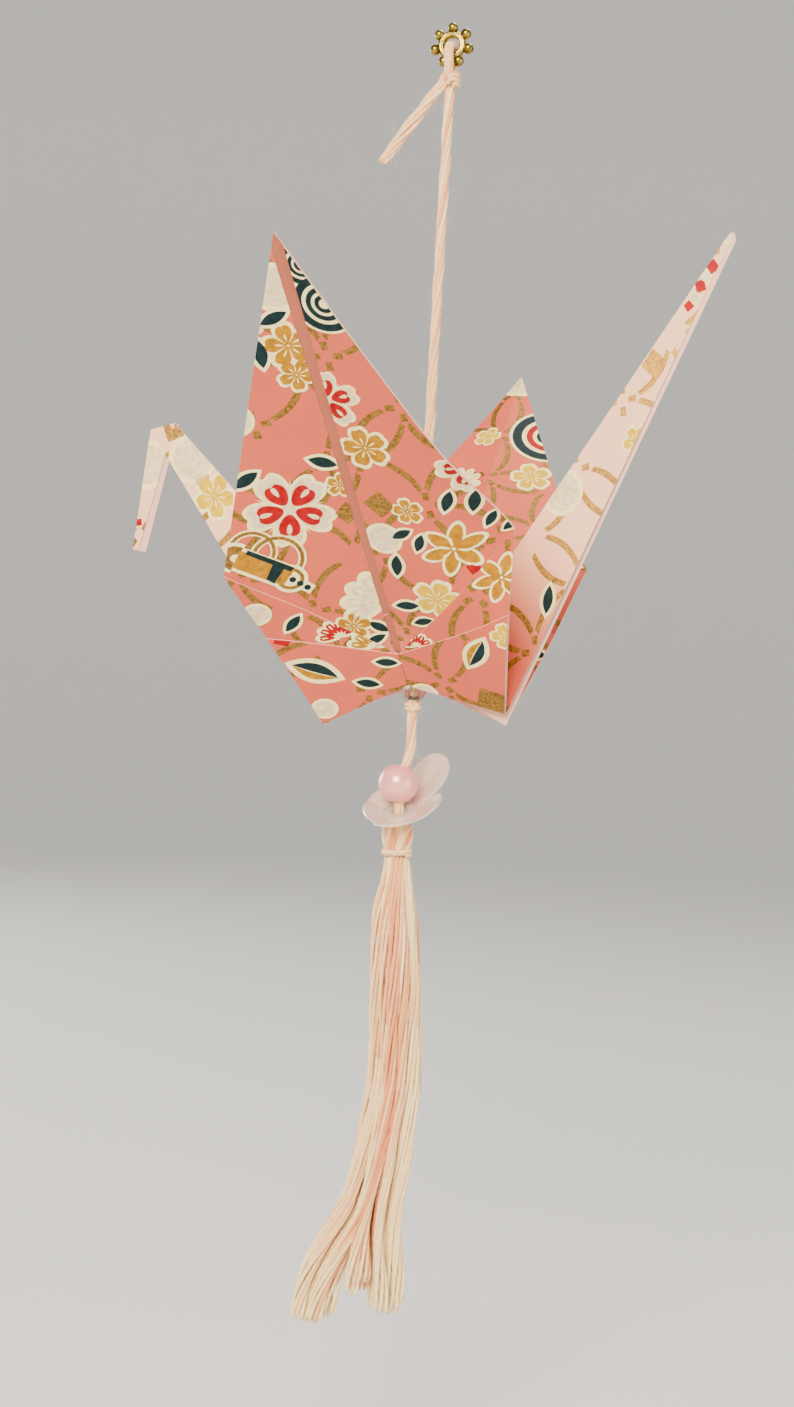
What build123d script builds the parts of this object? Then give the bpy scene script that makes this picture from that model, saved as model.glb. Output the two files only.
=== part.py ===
from build123d import *
import math
import os

# Hanging paper crane: a folded square of printed paper threaded on cotton floss, with beads and a tassel
# Millimetres. Origin at the centre of the hanging ring, Z up, the tail on +X, the near wing on -Y.

# Driving dimensions
SHEET_SIDE = 118.0
UNIT = SHEET_SIDE / 2
PLY = 0.15
CRANE_DROP = 72.0
CORD_R = 0.6
CORD_CLEARANCE = 0.09

# Fold angles, in degrees
LEG_ANGLE = 22.5
NARROWED_ANGLE = LEG_ANGLE / 2
REVERSE_FOLD_ANGLE = 19.4
NEAR_WING_OUT = 45.8
NEAR_WING_LEAN = -3.7
FAR_WING_OUT = 42.8
FAR_WING_LEAN = 0.8
KEEL_NECK_SIDE = 13.9
KEEL_TAIL_SIDE = 3.0
NECK_RISE = 44.0
TAIL_RISE = 58.3
HEAD_CREASE = -10.0

# Body opening and limb lengths, as shares of half the sheet
BOTTOM_HALF_WIDTH = 0.047
BOTTOM_DROP = -0.036
SPINE_FOOT_X = 0.024
SPINE_FOOT_Z = -0.030
NECK_SPINE = 1.0
NECK_TO_HEAD = 0.717
TAIL_SPINE = 1.03
ARM_HALF_GAP = 0.008
VALLEY_X = 0.085
VALLEY_Z = 0.090
SLIT_AT_TIP = 0.016

# Hanging ring
RING_R = 1.27
RING_WIRE_R = 0.42
BALL_COUNT = 7
BALL_R = 0.62
BALL_CIRCLE_R = 2.03

# Cord
LOOP_HALF_WIDTH = 1.3
LOOP_BEND_R = 1.2
LOOP_SAG = 0.2
RING_KNOT_Z = -3.9
LOOSE_END_DOWN = 10.2
LOOSE_END_OUT = 7.3
VIEW_YAW = 16.0

# Beads and tassel
CLEAR_BEAD_R = 1.4
CLEAR_BEAD_DROP = 2.95
CLEAR_BEAD_Z = -CRANE_DROP - CLEAR_BEAD_DROP
STOP_KNOT_R = 0.95
PEARL_R = 2.35
PEARL_DROP = 13.8
PEARL_Z = -CRANE_DROP - PEARL_DROP
PEARL_OUT = -1.2
TASSEL_OUT = -0.9
FLOWER_PETALS = 5
FLOWER_TILT = 32.0
FLOWER_TILT_TOWARDS = 60.0
FLOWER_TURN = 10.0
PETAL_RISE = 30.0
PETAL_LENGTH = 6.8
PETAL_WIDTH = 4.0
PETAL_THICK = 0.65
FLOWER_HUB_OUT = -0.9
FLOWER_HUB_Z = PEARL_Z - PEARL_R - 0.80
TASSEL_TOP_Z = PEARL_Z - PEARL_R - 1.75
TASSEL_HEAD = 3.8
TASSEL_LENGTH = 54.3
TASSEL_R = 3.35
NECK_R = 1.5
TIE_WIRE_R = 0.36
TIE_CLEARANCE = 0.02
TIE_Z = TASSEL_TOP_Z - TASSEL_HEAD
TASSEL_END_Z = TIE_Z - TASSEL_LENGTH


def unit(v):
    return v.normalized()


def turned(v, axis, degrees):
    """The vector v turned about a unit axis by an angle."""
    a = math.radians(degrees)
    c = math.cos(a)
    s = math.sin(a)
    return v * c + axis.cross(v) * s + axis * (axis.dot(v) * (1 - c))


def place(x, y, z):
    """A point of the crane's body, given in halves of the sheet's side, in the part's frame."""
    return Vector(x * UNIT, y * UNIT, z * UNIT - CRANE_DROP)


def plate(points, outward, low, high, grow=0.0):
    """A flat panel of paper on the given corners, from low to high along its outward normal.

    grow lengthens it from its middle, so that panels which share a fold cross each other there.
    """
    normal = unit((points[1] - points[0]).cross(points[2] - points[0]))
    if normal.dot(outward) < 0:
        normal = normal * -1
    middle = Vector(0, 0, 0)
    for p in points:
        middle = middle + p * (1 / len(points))
    corners = [p + unit(p - middle) * grow + normal * low for p in points]
    face = Face(Wire.make_polygon(corners, close=True))
    return Solid.extrude(face, normal * (high - low))


# Crease pattern of the flat-folded crane, in halves of the sheet's side
LEG_SLOPE = math.tan(math.radians(LEG_ANGLE))
NARROW_SLOPE = math.tan(math.radians(NARROWED_ANGLE))
CORNER_H = (LEG_SLOPE - NARROW_SLOPE) / (LEG_SLOPE + NARROW_SLOPE)
CORNER = (NARROW_SLOPE * (1 + CORNER_H), CORNER_H)
FLAP_TOP_H = math.sqrt(1 + LEG_SLOPE ** 2) - 1
STEP_H = (LEG_SLOPE - NARROW_SLOPE) / (1 + NARROW_SLOPE)
STEP = (NARROW_SLOPE * (1 + STEP_H), STEP_H)
REVERSE_SLOPE = math.tan(math.radians(REVERSE_FOLD_ANGLE))
KNEE_X = NARROW_SLOPE / (1 + NARROW_SLOPE * REVERSE_SLOPE)
KNEE = (KNEE_X, -KNEE_X * REVERSE_SLOPE)


class Half:
    """One half of the body with its wing: two flat panels that meet along the wing's middle line."""

    def __init__(self, side, out, lean, keel_neck, keel_tail):
        o = math.radians(out)
        t = math.radians(lean)
        self.side = side
        self.foot = Vector(0, side * BOTTOM_HALF_WIDTH, BOTTOM_DROP)
        self.up = Vector(math.sin(t), side * math.sin(o) * math.cos(t), math.cos(o) * math.cos(t))
        across = Vector(1, 0, 0)
        across = unit(across - self.up * across.dot(self.up))
        self.arms = {-1: turned(across * -1, self.up, -side * keel_neck), 1: turned(across, self.up, side * keel_tail)}
        self.outward = Vector(0, side, 0)

    def at(self, end, x, h):
        """The point x out towards an end (-1 neck, 1 tail) and h up the wing."""
        p = self.foot + self.arms[end] * x + self.up * h
        return place(p.X, p.Y, p.Z)


near = Half(-1, NEAR_WING_OUT, NEAR_WING_LEAN, KEEL_NECK_SIDE, KEEL_TAIL_SIDE)
far = Half(1, FAR_WING_OUT, FAR_WING_LEAN, KEEL_NECK_SIDE - 4.0, KEEL_TAIL_SIDE + 5.0)
halves = (near, far)

# Hump apex: the hump's face keeps its folded height above the line that it turns up from
rise = near.foot + near.up * STEP_H
apex_h = rise.Z + math.sqrt((LEG_SLOPE - STEP_H) ** 2 - rise.Y ** 2)
apex = place(0, 0, apex_h)

panels = []

# Wings with their two raw edges along the middle, and the body flaps with their stepped edge
for half in halves:
    for end in (-1, 1):
        tip = half.at(end, -0.002, 1.004)
        foot = half.at(end, -0.004, -0.002)
        knee = half.at(end, *KNEE)
        corner = half.at(end, *CORNER)
        panels.append(plate([tip, foot, knee, corner], half.outward, -PLY, 0.0))
        slit_top = half.at(end, SLIT_AT_TIP / 2, 1 - SLIT_AT_TIP / 2 / LEG_SLOPE - 0.004)
        slit_foot = half.at(end, -0.001, 0.30)
        foot = half.at(end, -0.003, 0.002)
        knee = half.at(end, KNEE[0] - 0.002, KNEE[1] + 0.001)
        corner = half.at(end, CORNER[0] - 0.002, CORNER[1])
        panels.append(plate([slit_top, slit_foot, foot, knee, corner], half.outward, -PLY / 3, PLY))
        flap_top = half.at(end, 0.001, FLAP_TOP_H)
        foot = half.at(end, 0.001, 0.004)
        knee = half.at(end, KNEE[0] - 0.004, KNEE[1] + 0.003)
        corner = half.at(end, CORNER[0] - 0.004, CORNER[1] - 0.002)
        panels.append(plate([corner, knee, foot, flap_top], half.outward, 2 * PLY / 3, 2 * PLY))
        step = half.at(end, STEP[0] - 0.006, STEP[1] - 0.002)
        flap_top = half.at(end, 0.004, FLAP_TOP_H - 0.004)
        foot = half.at(end, 0.004, 0.007)
        knee = half.at(end, KNEE[0] - 0.006, KNEE[1] + 0.005)
        panels.append(plate([step, knee, foot, flap_top], half.outward, 5 * PLY / 3, 3 * PLY))

# Hump faces and the valley walls behind the neck and the tail
OVERLAP = 1.2 * PLY
spine_foot = {end: place(end * SPINE_FOOT_X, 0, SPINE_FOOT_Z) for end in (-1, 1)}
valley = {end: place(end * VALLEY_X, 0, VALLEY_Z) for end in (-1, 1)}
for half in halves:
    middle = half.at(1, 0, STEP_H)
    for end in (-1, 1):
        step = half.at(end, STEP[0] - 0.001, STEP[1])
        knee = half.at(end, KNEE[0] - 0.003, KNEE[1] + 0.006)
        foot = half.at(end, 0, 0.004)
        up_out = Vector(0, half.side, 1)
        panels.append(plate([step, middle, apex], up_out, -PLY / 2, PLY / 2, OVERLAP))
        panels.append(plate([apex, step, valley[end]], up_out, -PLY / 2, PLY / 2, OVERLAP))
        panels.append(plate([step, knee, valley[end]], half.outward, -PLY / 2, PLY / 2, OVERLAP))
        panels.append(plate([knee, spine_foot[end], valley[end]], half.outward, -PLY / 2, PLY / 2, OVERLAP))
        panels.append(plate([knee, foot, spine_foot[end]], Vector(0, 0, -1), -PLY / 2, PLY / 2, OVERLAP))

# Tail: two arms that join along the spine
tail_dir = Vector(math.cos(math.radians(TAIL_RISE)), 0, math.sin(math.radians(TAIL_RISE)))
neck_dir = Vector(-math.cos(math.radians(NECK_RISE)), 0, math.sin(math.radians(NECK_RISE)))
ARM_HALF = 2 * PLY
tail_tip = spine_foot[1] + tail_dir * (TAIL_SPINE * UNIT)
neck_tip = spine_foot[-1] + neck_dir * (NECK_SPINE * UNIT)
for half in halves:
    lower = half.at(1, *KNEE)
    lower = Vector(lower.X, half.side * ARM_HALF_GAP * UNIT, lower.Z)
    panels.append(plate([spine_foot[1], tail_tip, lower], half.outward, -ARM_HALF, ARM_HALF, 1.3 * PLY))
    panels.append(plate([spine_foot[1], lower, half.at(1, *KNEE)], Vector(0, 0, -1), -PLY, PLY, 1.3 * PLY))

# Neck: two arms up to the head's crease, and the beak turned down inside them
knee_mid = (near.at(-1, *KNEE) + far.at(-1, *KNEE)) * 0.5
lower_dir = unit(Vector(knee_mid.X, 0, knee_mid.Z) - neck_tip)
crown = spine_foot[-1] + neck_dir * (NECK_TO_HEAD * UNIT)
crease_dir = Vector(-math.cos(math.radians(HEAD_CREASE)), 0, math.sin(math.radians(HEAD_CREASE)))
gap = neck_tip - crown
span = crease_dir.X * lower_dir.Z - crease_dir.Z * lower_dir.X
brow = crown + crease_dir * ((gap.X * lower_dir.Z - gap.Z * lower_dir.X) / span)
beak_tip = crown + (crease_dir * (2 * gap.dot(crease_dir)) - gap)
for half in halves:
    lower = half.at(-1, *KNEE)
    lower = Vector(lower.X, half.side * ARM_HALF_GAP * UNIT, lower.Z)
    brow_side = Vector(brow.X, half.side * 1.7 * PLY, brow.Z)
    panels.append(plate([spine_foot[-1], crown, lower], half.outward, -ARM_HALF, ARM_HALF, 1.3 * PLY))
    panels.append(plate([crown, brow_side, lower], half.outward, -ARM_HALF, ARM_HALF, PLY))
    panels.append(plate([spine_foot[-1], lower, half.at(-1, *KNEE)], Vector(0, 0, -1), -PLY, PLY, 1.3 * PLY))
panels.append(plate([crown, brow, beak_tip], Vector(0, -1, 0), -1.7 * PLY, 1.7 * PLY, 0.7 * PLY))

crane = panels[0].fuse(*panels[1:])
thread_hole = Solid.make_cylinder(
    CORD_R + 0.2, 14.0, Plane(origin=(0, 0, apex.Z - 9.0), z_dir=(0, 0, 1))
)
crane = crane.cut(thread_hole)
crane_solid = max(crane.solids(), key=lambda s: s.volume)

# Hanging ring: a wire ring with a row of balls round it, a gap between two balls at the bottom
ring = Torus(RING_R, RING_WIRE_R).rotate(Axis.X, 90)
for i in range(BALL_COUNT):
    angle = math.radians(-90 + (i + 0.5) * 360 / BALL_COUNT)
    ball = Sphere(BALL_R).moved(Location((BALL_CIRCLE_R * math.cos(angle), 0, BALL_CIRCLE_R * math.sin(angle))))
    ring = ring + ball


def tube(path, radius):
    """A round cord along a path."""
    start = Plane(origin=path @ 0, z_dir=path % 0)
    return sweep(start * Circle(radius), path=path)


# Cord: through the ring, tied, with a loose end, then straight down through the crane and the beads
loop = FilletPolyline(
    (0, -0.45, RING_KNOT_Z + 0.2),
    (0, -LOOP_HALF_WIDTH, -1.55 - LOOP_SAG),
    (0, -LOOP_HALF_WIDTH, -LOOP_SAG),
    (0, LOOP_HALF_WIDTH, -LOOP_SAG),
    (0, LOOP_HALF_WIDTH, -1.55 - LOOP_SAG),
    (0, 0.45, RING_KNOT_Z + 0.2),
    radius=LOOP_BEND_R,
)
left = Vector(-math.cos(math.radians(VIEW_YAW)), -math.sin(math.radians(VIEW_YAW)), 0)
knot_at = Vector(0, 0, RING_KNOT_Z)
loose_end = knot_at + left * LOOSE_END_OUT + Vector(0, 0, -LOOSE_END_DOWN)
loose_mid = knot_at + left * (0.46 * LOOSE_END_OUT) + Vector(0, 0, -0.40 * LOOSE_END_DOWN)
loose = FilletPolyline(knot_at, loose_mid, loose_end, radius=12.0)
CORD_FOOT_Z = TASSEL_TOP_Z - 2.0


def aside(out, z):
    """A point that is out to the right of the cord in the picture's plane, at a height."""
    return left * -out + Vector(0, 0, z)


hang = FilletPolyline(
    knot_at,
    aside(0, PEARL_Z + 3.1),
    aside(PEARL_OUT, PEARL_Z),
    aside(TASSEL_OUT, PEARL_Z - 3.2),
    aside(TASSEL_OUT, CORD_FOOT_Z),
    radius=1.5,
)
ring_knot = Torus(0.66, 0.58).rotate(Axis.Y, 18).moved(Location(knot_at))
ring_knot = ring_knot + Torus(0.6, 0.52).rotate(Axis.X, 24).moved(Location((0, 0, RING_KNOT_Z - 0.62)))
STOP_KNOT_Z = CLEAR_BEAD_Z - CLEAR_BEAD_R - STOP_KNOT_R + 0.28
stop_knot = Torus(0.52, 0.48).rotate(Axis.Y, 15).moved(Location((0, 0, STOP_KNOT_Z)))
cord = tube(hang, CORD_R) + tube(loop, CORD_R) + tube(loose, CORD_R * 0.98) + ring_knot + stop_knot


bead_bore = tube(hang, CORD_R + CORD_CLEARANCE)
clear_bead = Sphere(CLEAR_BEAD_R).moved(Location((0, 0, CLEAR_BEAD_Z))) - bead_bore
pearl_at = aside(PEARL_OUT, PEARL_Z)
pearl = Sphere(PEARL_R).moved(Location(pearl_at)) - bead_bore

# Flower cap: petals that rise round the pearl from a small hub, leaning on the cord
petal_shape = SlotCenterPoint((PETAL_LENGTH / 2, 0), (PETAL_LENGTH - PETAL_WIDTH / 2, 0), PETAL_WIDTH)
petal = extrude(petal_shape, amount=PETAL_THICK / 2, both=True)
petal = petal + extrude(Rectangle(PETAL_LENGTH / 2, 2.0).moved(Location((PETAL_LENGTH / 4, 0, 0))), amount=PETAL_THICK / 2, both=True)
flower = Cylinder(1.55, 0.9)
for i in range(FLOWER_PETALS):
    one = petal.rotate(Axis.Y, -PETAL_RISE)
    flower = flower + one.rotate(Axis.Z, i * 360 / FLOWER_PETALS)
flower = flower.rotate(Axis.Z, FLOWER_TURN - FLOWER_TILT_TOWARDS).rotate(Axis.Y, -FLOWER_TILT)
flower = flower.rotate(Axis.Z, FLOWER_TILT_TOWARDS + VIEW_YAW).moved(Location(aside(FLOWER_HUB_OUT, FLOWER_HUB_Z)))
flower = flower - bead_bore
flower = flower - Sphere(PEARL_R + 0.07).moved(Location(pearl_at))
head_room = Cylinder(1.57 * NECK_R, 6, align=(Align.CENTER, Align.CENTER, Align.MAX))
flower = flower - head_room.moved(Location(aside(TASSEL_OUT, TASSEL_TOP_Z + TIE_CLEARANCE)))
flower = max(flower.solids(), key=lambda s: s.volume)

# Tassel: a bundle of floss, tied into a head, hanging in soft flutes and parting into locks at the foot
FLUTES = 9


def section(z, radius, depth, out, flat=1.0, turn=0.0):
    """A fluted outline at a height, its centre moved out in the picture's plane."""
    points = []
    for k in range(2 * FLUTES):
        a = math.pi * k / FLUTES + math.radians(turn)
        r = radius * (1 + depth * (-1) ** k)
        p = Vector(r * math.cos(a), flat * r * math.sin(a), 0).rotate(Axis.Z, VIEW_YAW)
        points.append(Vector(p.X - left.X * out, p.Y - left.Y * out, z))
    return Face(Wire.make_polygon(points, close=True))


def skirt(share, radius, depth, out, flat=1.0, turn=0.0):
    """A section of the hanging floss, at a share of its length below the tie."""
    return section(TIE_Z - share * TASSEL_LENGTH, radius * TASSEL_R, depth, out * TASSEL_R, flat, turn)


tassel = loft(
    [
        section(TASSEL_TOP_Z, 0.87 * NECK_R, 0.04, TASSEL_OUT),
        section(TASSEL_TOP_Z - 0.27 * TASSEL_HEAD, 1.33 * NECK_R, 0.05, TASSEL_OUT),
        section(TIE_Z + 0.42 * TASSEL_HEAD, 1.30 * NECK_R, 0.05, TASSEL_OUT),
        section(TIE_Z + 0.20 * TASSEL_HEAD, NECK_R, 0.03, TASSEL_OUT),
        section(TIE_Z - 0.20 * TASSEL_HEAD, NECK_R, 0.03, TASSEL_OUT),
        skirt(0.04, 0.58, 0.06, TASSEL_OUT / TASSEL_R, turn=2.0),
        skirt(0.12, 0.73, 0.09, -0.24, turn=5.0),
        skirt(0.30, 0.93, 0.11, -0.03, turn=8.0),
        skirt(0.52, 1.00, 0.12, 0.09, turn=11.0),
        skirt(0.67, 1.10, 0.12, -0.15, 0.9, turn=14.0),
        skirt(0.80, 1.28, 0.12, -0.57, 0.8, turn=17.0),
        skirt(1.00, 1.50, 0.12, -1.07, 0.7, turn=20.0),
    ],
    ruled=True,
)


def parting(out, width, rise, lean):
    """A wedge between two locks, open downwards, seen in the picture's plane."""
    top = TASSEL_END_Z + rise * TASSEL_LENGTH
    outline = [
        aside(out * TASSEL_R, top),
        aside((out + lean - width / 2) * TASSEL_R, TASSEL_END_Z - 1),
        aside((out + lean + width / 2) * TASSEL_R, TASSEL_END_Z - 1),
    ]
    across = Vector(left.Y, -left.X, 0)
    depth = 3 * TASSEL_R
    face = Face(Wire.make_polygon([p - across * depth for p in outline], close=True))
    return Solid.extrude(face, across * (2 * depth))


tassel = tassel - parting(-0.72, 0.48, 0.22, -0.66)
tassel = tassel - parting(-0.36, 0.39, 0.157, -0.18)
short_lock = Box(0.95 * TASSEL_R, 4 * TASSEL_R, 3 * TASSEL_R, align=(Align.CENTER, Align.CENTER, Align.MAX))
tassel = tassel - short_lock.moved(Location(aside(-0.87 * TASSEL_R, TASSEL_END_Z + 0.063 * TASSEL_LENGTH)))
socket = Cylinder(CORD_R + CORD_CLEARANCE, 2 * TASSEL_HEAD, align=(Align.CENTER, Align.CENTER, Align.MIN))
tassel = tassel - socket.moved(Location(aside(TASSEL_OUT, CORD_FOOT_Z - CORD_CLEARANCE)))
tassel = max(tassel.solids(), key=lambda s: s.volume)
tie_at = aside(TASSEL_OUT, 0)
TIE_R = 1.03 * NECK_R + TIE_WIRE_R + TIE_CLEARANCE
tie = Torus(TIE_R, TIE_WIRE_R).moved(Location((tie_at.X, tie_at.Y, TIE_Z + 0.83 * TIE_WIRE_R)))
tie = tie + Torus(TIE_R, TIE_WIRE_R).moved(Location((tie_at.X, tie_at.Y, TIE_Z - 0.83 * TIE_WIRE_R)))

nodes = {
    "paper_crane": crane_solid,
    "hanging_ring": ring,
    "hanging_cord": cord,
    "clear_bead": clear_bead,
    "pearl_bead": pearl,
    "flower_cap": flower,
    "tassel": tassel,
    "tassel_tie": tie,
}
os.makedirs("parts", exist_ok=True)
for name, shape in nodes.items():
    pieces = shape.solids()
    export_step(pieces[0] if len(pieces) == 1 else Compound(children=list(pieces)), "parts/" + name + ".step")
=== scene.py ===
"""Looks of a hanging paper crane: folded printed paper on cotton floss, with a ring, beads and a tassel."""

import logging
import math
from collections.abc import Callable, Sequence
from dataclasses import dataclass
from enum import Enum
from typing import Any

import bpy
import numpy as np
from mathutils import Matrix

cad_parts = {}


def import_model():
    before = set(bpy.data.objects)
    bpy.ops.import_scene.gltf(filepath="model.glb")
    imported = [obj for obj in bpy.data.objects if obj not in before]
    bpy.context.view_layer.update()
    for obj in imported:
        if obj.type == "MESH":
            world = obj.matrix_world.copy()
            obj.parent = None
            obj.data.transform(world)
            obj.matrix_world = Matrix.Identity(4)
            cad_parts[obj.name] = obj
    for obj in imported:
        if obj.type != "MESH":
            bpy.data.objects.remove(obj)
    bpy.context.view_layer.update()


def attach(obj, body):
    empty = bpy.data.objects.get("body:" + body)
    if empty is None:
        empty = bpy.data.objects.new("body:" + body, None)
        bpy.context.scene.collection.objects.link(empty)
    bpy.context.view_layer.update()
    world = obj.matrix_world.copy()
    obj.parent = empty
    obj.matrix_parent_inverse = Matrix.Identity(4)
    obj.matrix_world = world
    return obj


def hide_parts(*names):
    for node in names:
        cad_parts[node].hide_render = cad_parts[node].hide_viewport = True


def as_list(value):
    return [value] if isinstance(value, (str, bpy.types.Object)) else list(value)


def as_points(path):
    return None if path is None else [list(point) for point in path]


LOG = logging.getLogger("crane")
Array = np.ndarray
Colour = tuple[float, float, float]
MM = 0.001
TURN = 2 * math.pi
UP = np.array([0.0, 0.0, 1.0])
NECK, TAIL = -1, 1
NEAR, FAR = -1, 1
VIEW_YAW = 16.0
# The radius of a loose hair, and the radius left at the poles of a ball without a bore, in millimetres.
HAIR, POLE = 0.014, 1e-4
# The sheet's material slots: ground, bare back, and the painted shade in the wing's slit.
GROUND, BACK, SLIT_SHADE = 0, 1, 2
# A direction that no turned piece's axis runs along.
ODD_WAY = np.array([0.31, 0.95, 0.02])
# The cord's points above, in and below the pearl: out to the right of the upright and up, in millimetres.
ABOVE_PEARL, IN_PEARL, BELOW_PEARL = (0.0, -82.7), (-1.2, -85.8), (-0.9, -89.0)


def unit(v: Array) -> Array:
    """The vectors at length one."""
    return v / np.maximum(np.linalg.norm(v, axis=-1, keepdims=True), 1e-12)


def turned(v: Array, axis: Array, degrees: float) -> Array:
    """A vector turned about a unit axis by an angle."""
    a = math.radians(degrees)
    return v * math.cos(a) + np.cross(axis, v) * math.sin(a) + axis * (axis @ v) * (1 - math.cos(a))


def smooth(t: Array) -> Array:
    """A soft step from 0 to 1: three t squared less two t cubed, held at the ends."""
    t = np.clip(t, 0.0, 1.0)
    return t * t * (3 - 2 * t)


def picture_right() -> Array:
    """The direction across the photograph, level and to the right, in the part's frame."""
    a = math.radians(VIEW_YAW)
    return np.array([math.cos(a), math.sin(a), 0.0])


def picture_axes() -> tuple[Array, Array]:
    """The photograph's level directions in the part's frame: to the right, and away from the camera."""
    right = picture_right()
    return right, np.array([-right[1], right[0], 0.0])


def aside(out: float, z: float) -> Array:
    """A point out to the right of the cord in the picture's plane, at a height, both in millimetres."""
    return (picture_right() * out + np.array([0, 0, z])) * MM


def placed(x: Array, y: Array, z: Array, at: Array) -> Matrix:
    """The matrix of a camera or lamp, from its three directions and its place."""
    frame = np.eye(4)
    frame[:3] = np.stack([x, y, z, at], 1)
    return Matrix(frame.tolist())


def run_along(line: Array) -> Array:
    """How far along a line each of its points is."""
    return np.concatenate([[0.0], np.cumsum(np.linalg.norm(np.diff(line, axis=0), axis=1))])


class Surface:
    """Points and faces gathered from several grids into one mesh."""

    def __init__(self) -> None:
        """Start with nothing."""
        self.points: list[Array] = []
        self.faces: list[tuple[Array, int]] = []
        self.values: dict[str, list[Array]] = {}
        self.count = 0

    def add(self, points: Array, faces: Sequence[Array], material: int = 0, **values: Array) -> None:
        """Add a piece of surface.

        Args:
            points: its points, in rows of three.
            faces: arrays of corner numbers, one row to a face.
            material: the material slot of its faces.
            values: named numbers, one to a point, kept as attributes.
        """
        points = np.asarray(points, float).reshape(-1, 3)
        self.points.append(points)
        self.faces += [(np.asarray(f, int) + self.count, material) for f in faces if len(f)]
        for name, value in values.items():
            self.values.setdefault(name, []).append(np.asarray(value, float).reshape(-1))
        self.count += len(points)

    def build(self, name: str, finishes: Sequence["Finish"], round_off: bool = True) -> bpy.types.Object:
        """Make the mesh object.

        Args:
            name: the object's name.
            finishes: the finishes of its material slots.
            round_off: whether its faces are shaded smooth.

        Returns:
            The object, linked to the scene and riding on the root.
        """
        points = np.concatenate(self.points)
        loops = np.concatenate([f.reshape(-1) for f, _ in self.faces])
        totals = np.concatenate([np.full(len(f), f.shape[1]) for f, _ in self.faces])
        slots = np.concatenate([np.full(len(f), m) for f, m in self.faces])
        mesh = bpy.data.meshes.new(name)
        mesh.vertices.add(len(points))
        mesh.vertices.foreach_set("co", points.astype(np.float32).ravel())
        mesh.loops.add(len(loops))
        mesh.loops.foreach_set("vertex_index", loops.astype(np.int32))
        mesh.polygons.add(len(totals))
        mesh.polygons.foreach_set("loop_start", (np.cumsum(totals) - totals).astype(np.int32))
        mesh.polygons.foreach_set("material_index", slots.astype(np.int32))
        mesh.polygons.foreach_set("use_smooth", np.full(len(totals), round_off))
        mesh.update(calc_edges=True)
        mesh.validate()
        for key, parts in self.values.items():
            attribute = mesh.attributes.new(key, "FLOAT", "POINT")
            attribute.data.foreach_set("value", np.concatenate(parts).astype(np.float32))
        for finish in finishes:
            mesh.materials.append(finish.material())
        obj = bpy.data.objects.new(name, mesh)
        bpy.context.scene.collection.objects.link(obj)
        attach(obj, "root")
        return obj


def grid_faces(rows: int, columns: int, wrap: bool = False) -> Array:
    """Quads of a grid of points, joined round its columns where wrap is set."""
    i = np.arange(rows - 1)[:, None]
    j = np.arange(columns if wrap else columns - 1)[None, :]
    k = (j + 1) % columns
    corners = [i * columns + j, i * columns + k, (i + 1) * columns + k, (i + 1) * columns + j]
    return np.stack(corners, -1).reshape(-1, 4)


def square_axes(paths: Array, across: Array) -> tuple[Array, Array]:
    """Two directions square to each path at each of its points.

    The first is the path's direction crossed with a fixed one, the second the direction crossed with that.

    Args:
        paths: points along one path or more.
        across: a direction that no path runs along.

    Returns:
        Both directions, as arrays like the points.
    """
    ahead = unit(np.gradient(paths, axis=-2))
    first = unit(np.cross(ahead, across))
    return first, np.cross(ahead, first)


def tubes(paths: Array, radius: Array, sides: int, across: Array) -> tuple[Array, list[Array]]:
    """Round tubes along many paths at once: rings of points square to the paths, with one face at each end.

    Args:
        paths: points along the paths, tubes by points by three.
        radius: the radius at each point, tubes by points.
        sides: corners of a ring.
        across: a direction that no path runs along.

    Returns:
        The points and the face arrays.
    """
    count, length, _ = paths.shape
    first, second = square_axes(paths, across)
    a = np.arange(sides) * TURN / sides
    ring = first[:, :, None] * np.cos(a)[:, None] + second[:, :, None] * np.sin(a)[:, None]
    points = paths[:, :, None] + ring * np.broadcast_to(radius, (count, length))[:, :, None, None]
    start = (np.arange(count) * length * sides)[:, None, None]
    quads = (start + grid_faces(length, sides, wrap=True)[None]).reshape(-1, 4)
    cap = start[:, 0] + np.arange(sides)[None, :]
    return points.reshape(-1, 3), [quads, cap[:, ::-1], cap + (length - 1) * sides]


def turning(profile: Array, sides: int, centre: Array, axis: Array) -> tuple[Array, list[Array]]:
    """A closed profile of radius and height carried round an axis.

    Args:
        profile: rows of radius and height, in metres, going round so that the outside is on the left.
        sides: steps round the axis.
        centre: the profile's zero.
        axis: the axis's direction.

    Returns:
        The points and the face arrays.
    """
    axis = unit(axis)
    side = unit(np.cross(axis, ODD_WAY))
    other = np.cross(axis, side)
    a = np.arange(sides) * TURN / sides
    ring = side * np.cos(a)[:, None] + other * np.sin(a)[:, None]
    points = centre + ring[:, None] * profile[None, :, :1] + axis * profile[None, :, 1:]
    rows = len(profile)
    i = np.arange(sides)[:, None]
    j = np.arange(rows)[None, :]
    k, n = (i + 1) % sides, (j + 1) % rows
    corners = [i * rows + j, k * rows + j, k * rows + n, i * rows + n]
    return points.reshape(-1, 3), [np.stack(corners, -1).reshape(-1, 4)]


class Node:
    """A shader value that takes part in Python expressions: each one adds a Math node."""

    def __init__(self, maker: "Shading", socket: Any) -> None:
        """Wrap an output socket of a material's nodes."""
        self.maker, self.socket = maker, socket

    def maths(self, operation: str, *values: Any) -> "Node":
        """A Math node on the given values."""
        return self.maker.node("ShaderNodeMath", {"operation": operation}, dict(enumerate(values)))

    def __add__(self, other: Any) -> "Node":
        """Sum."""
        return self.maths("ADD", self, other)

    def __sub__(self, other: Any) -> "Node":
        """Difference."""
        return self.maths("SUBTRACT", self, other)

    def __mul__(self, other: Any) -> "Node":
        """Product."""
        return self.maths("MULTIPLY", self, other)


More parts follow.
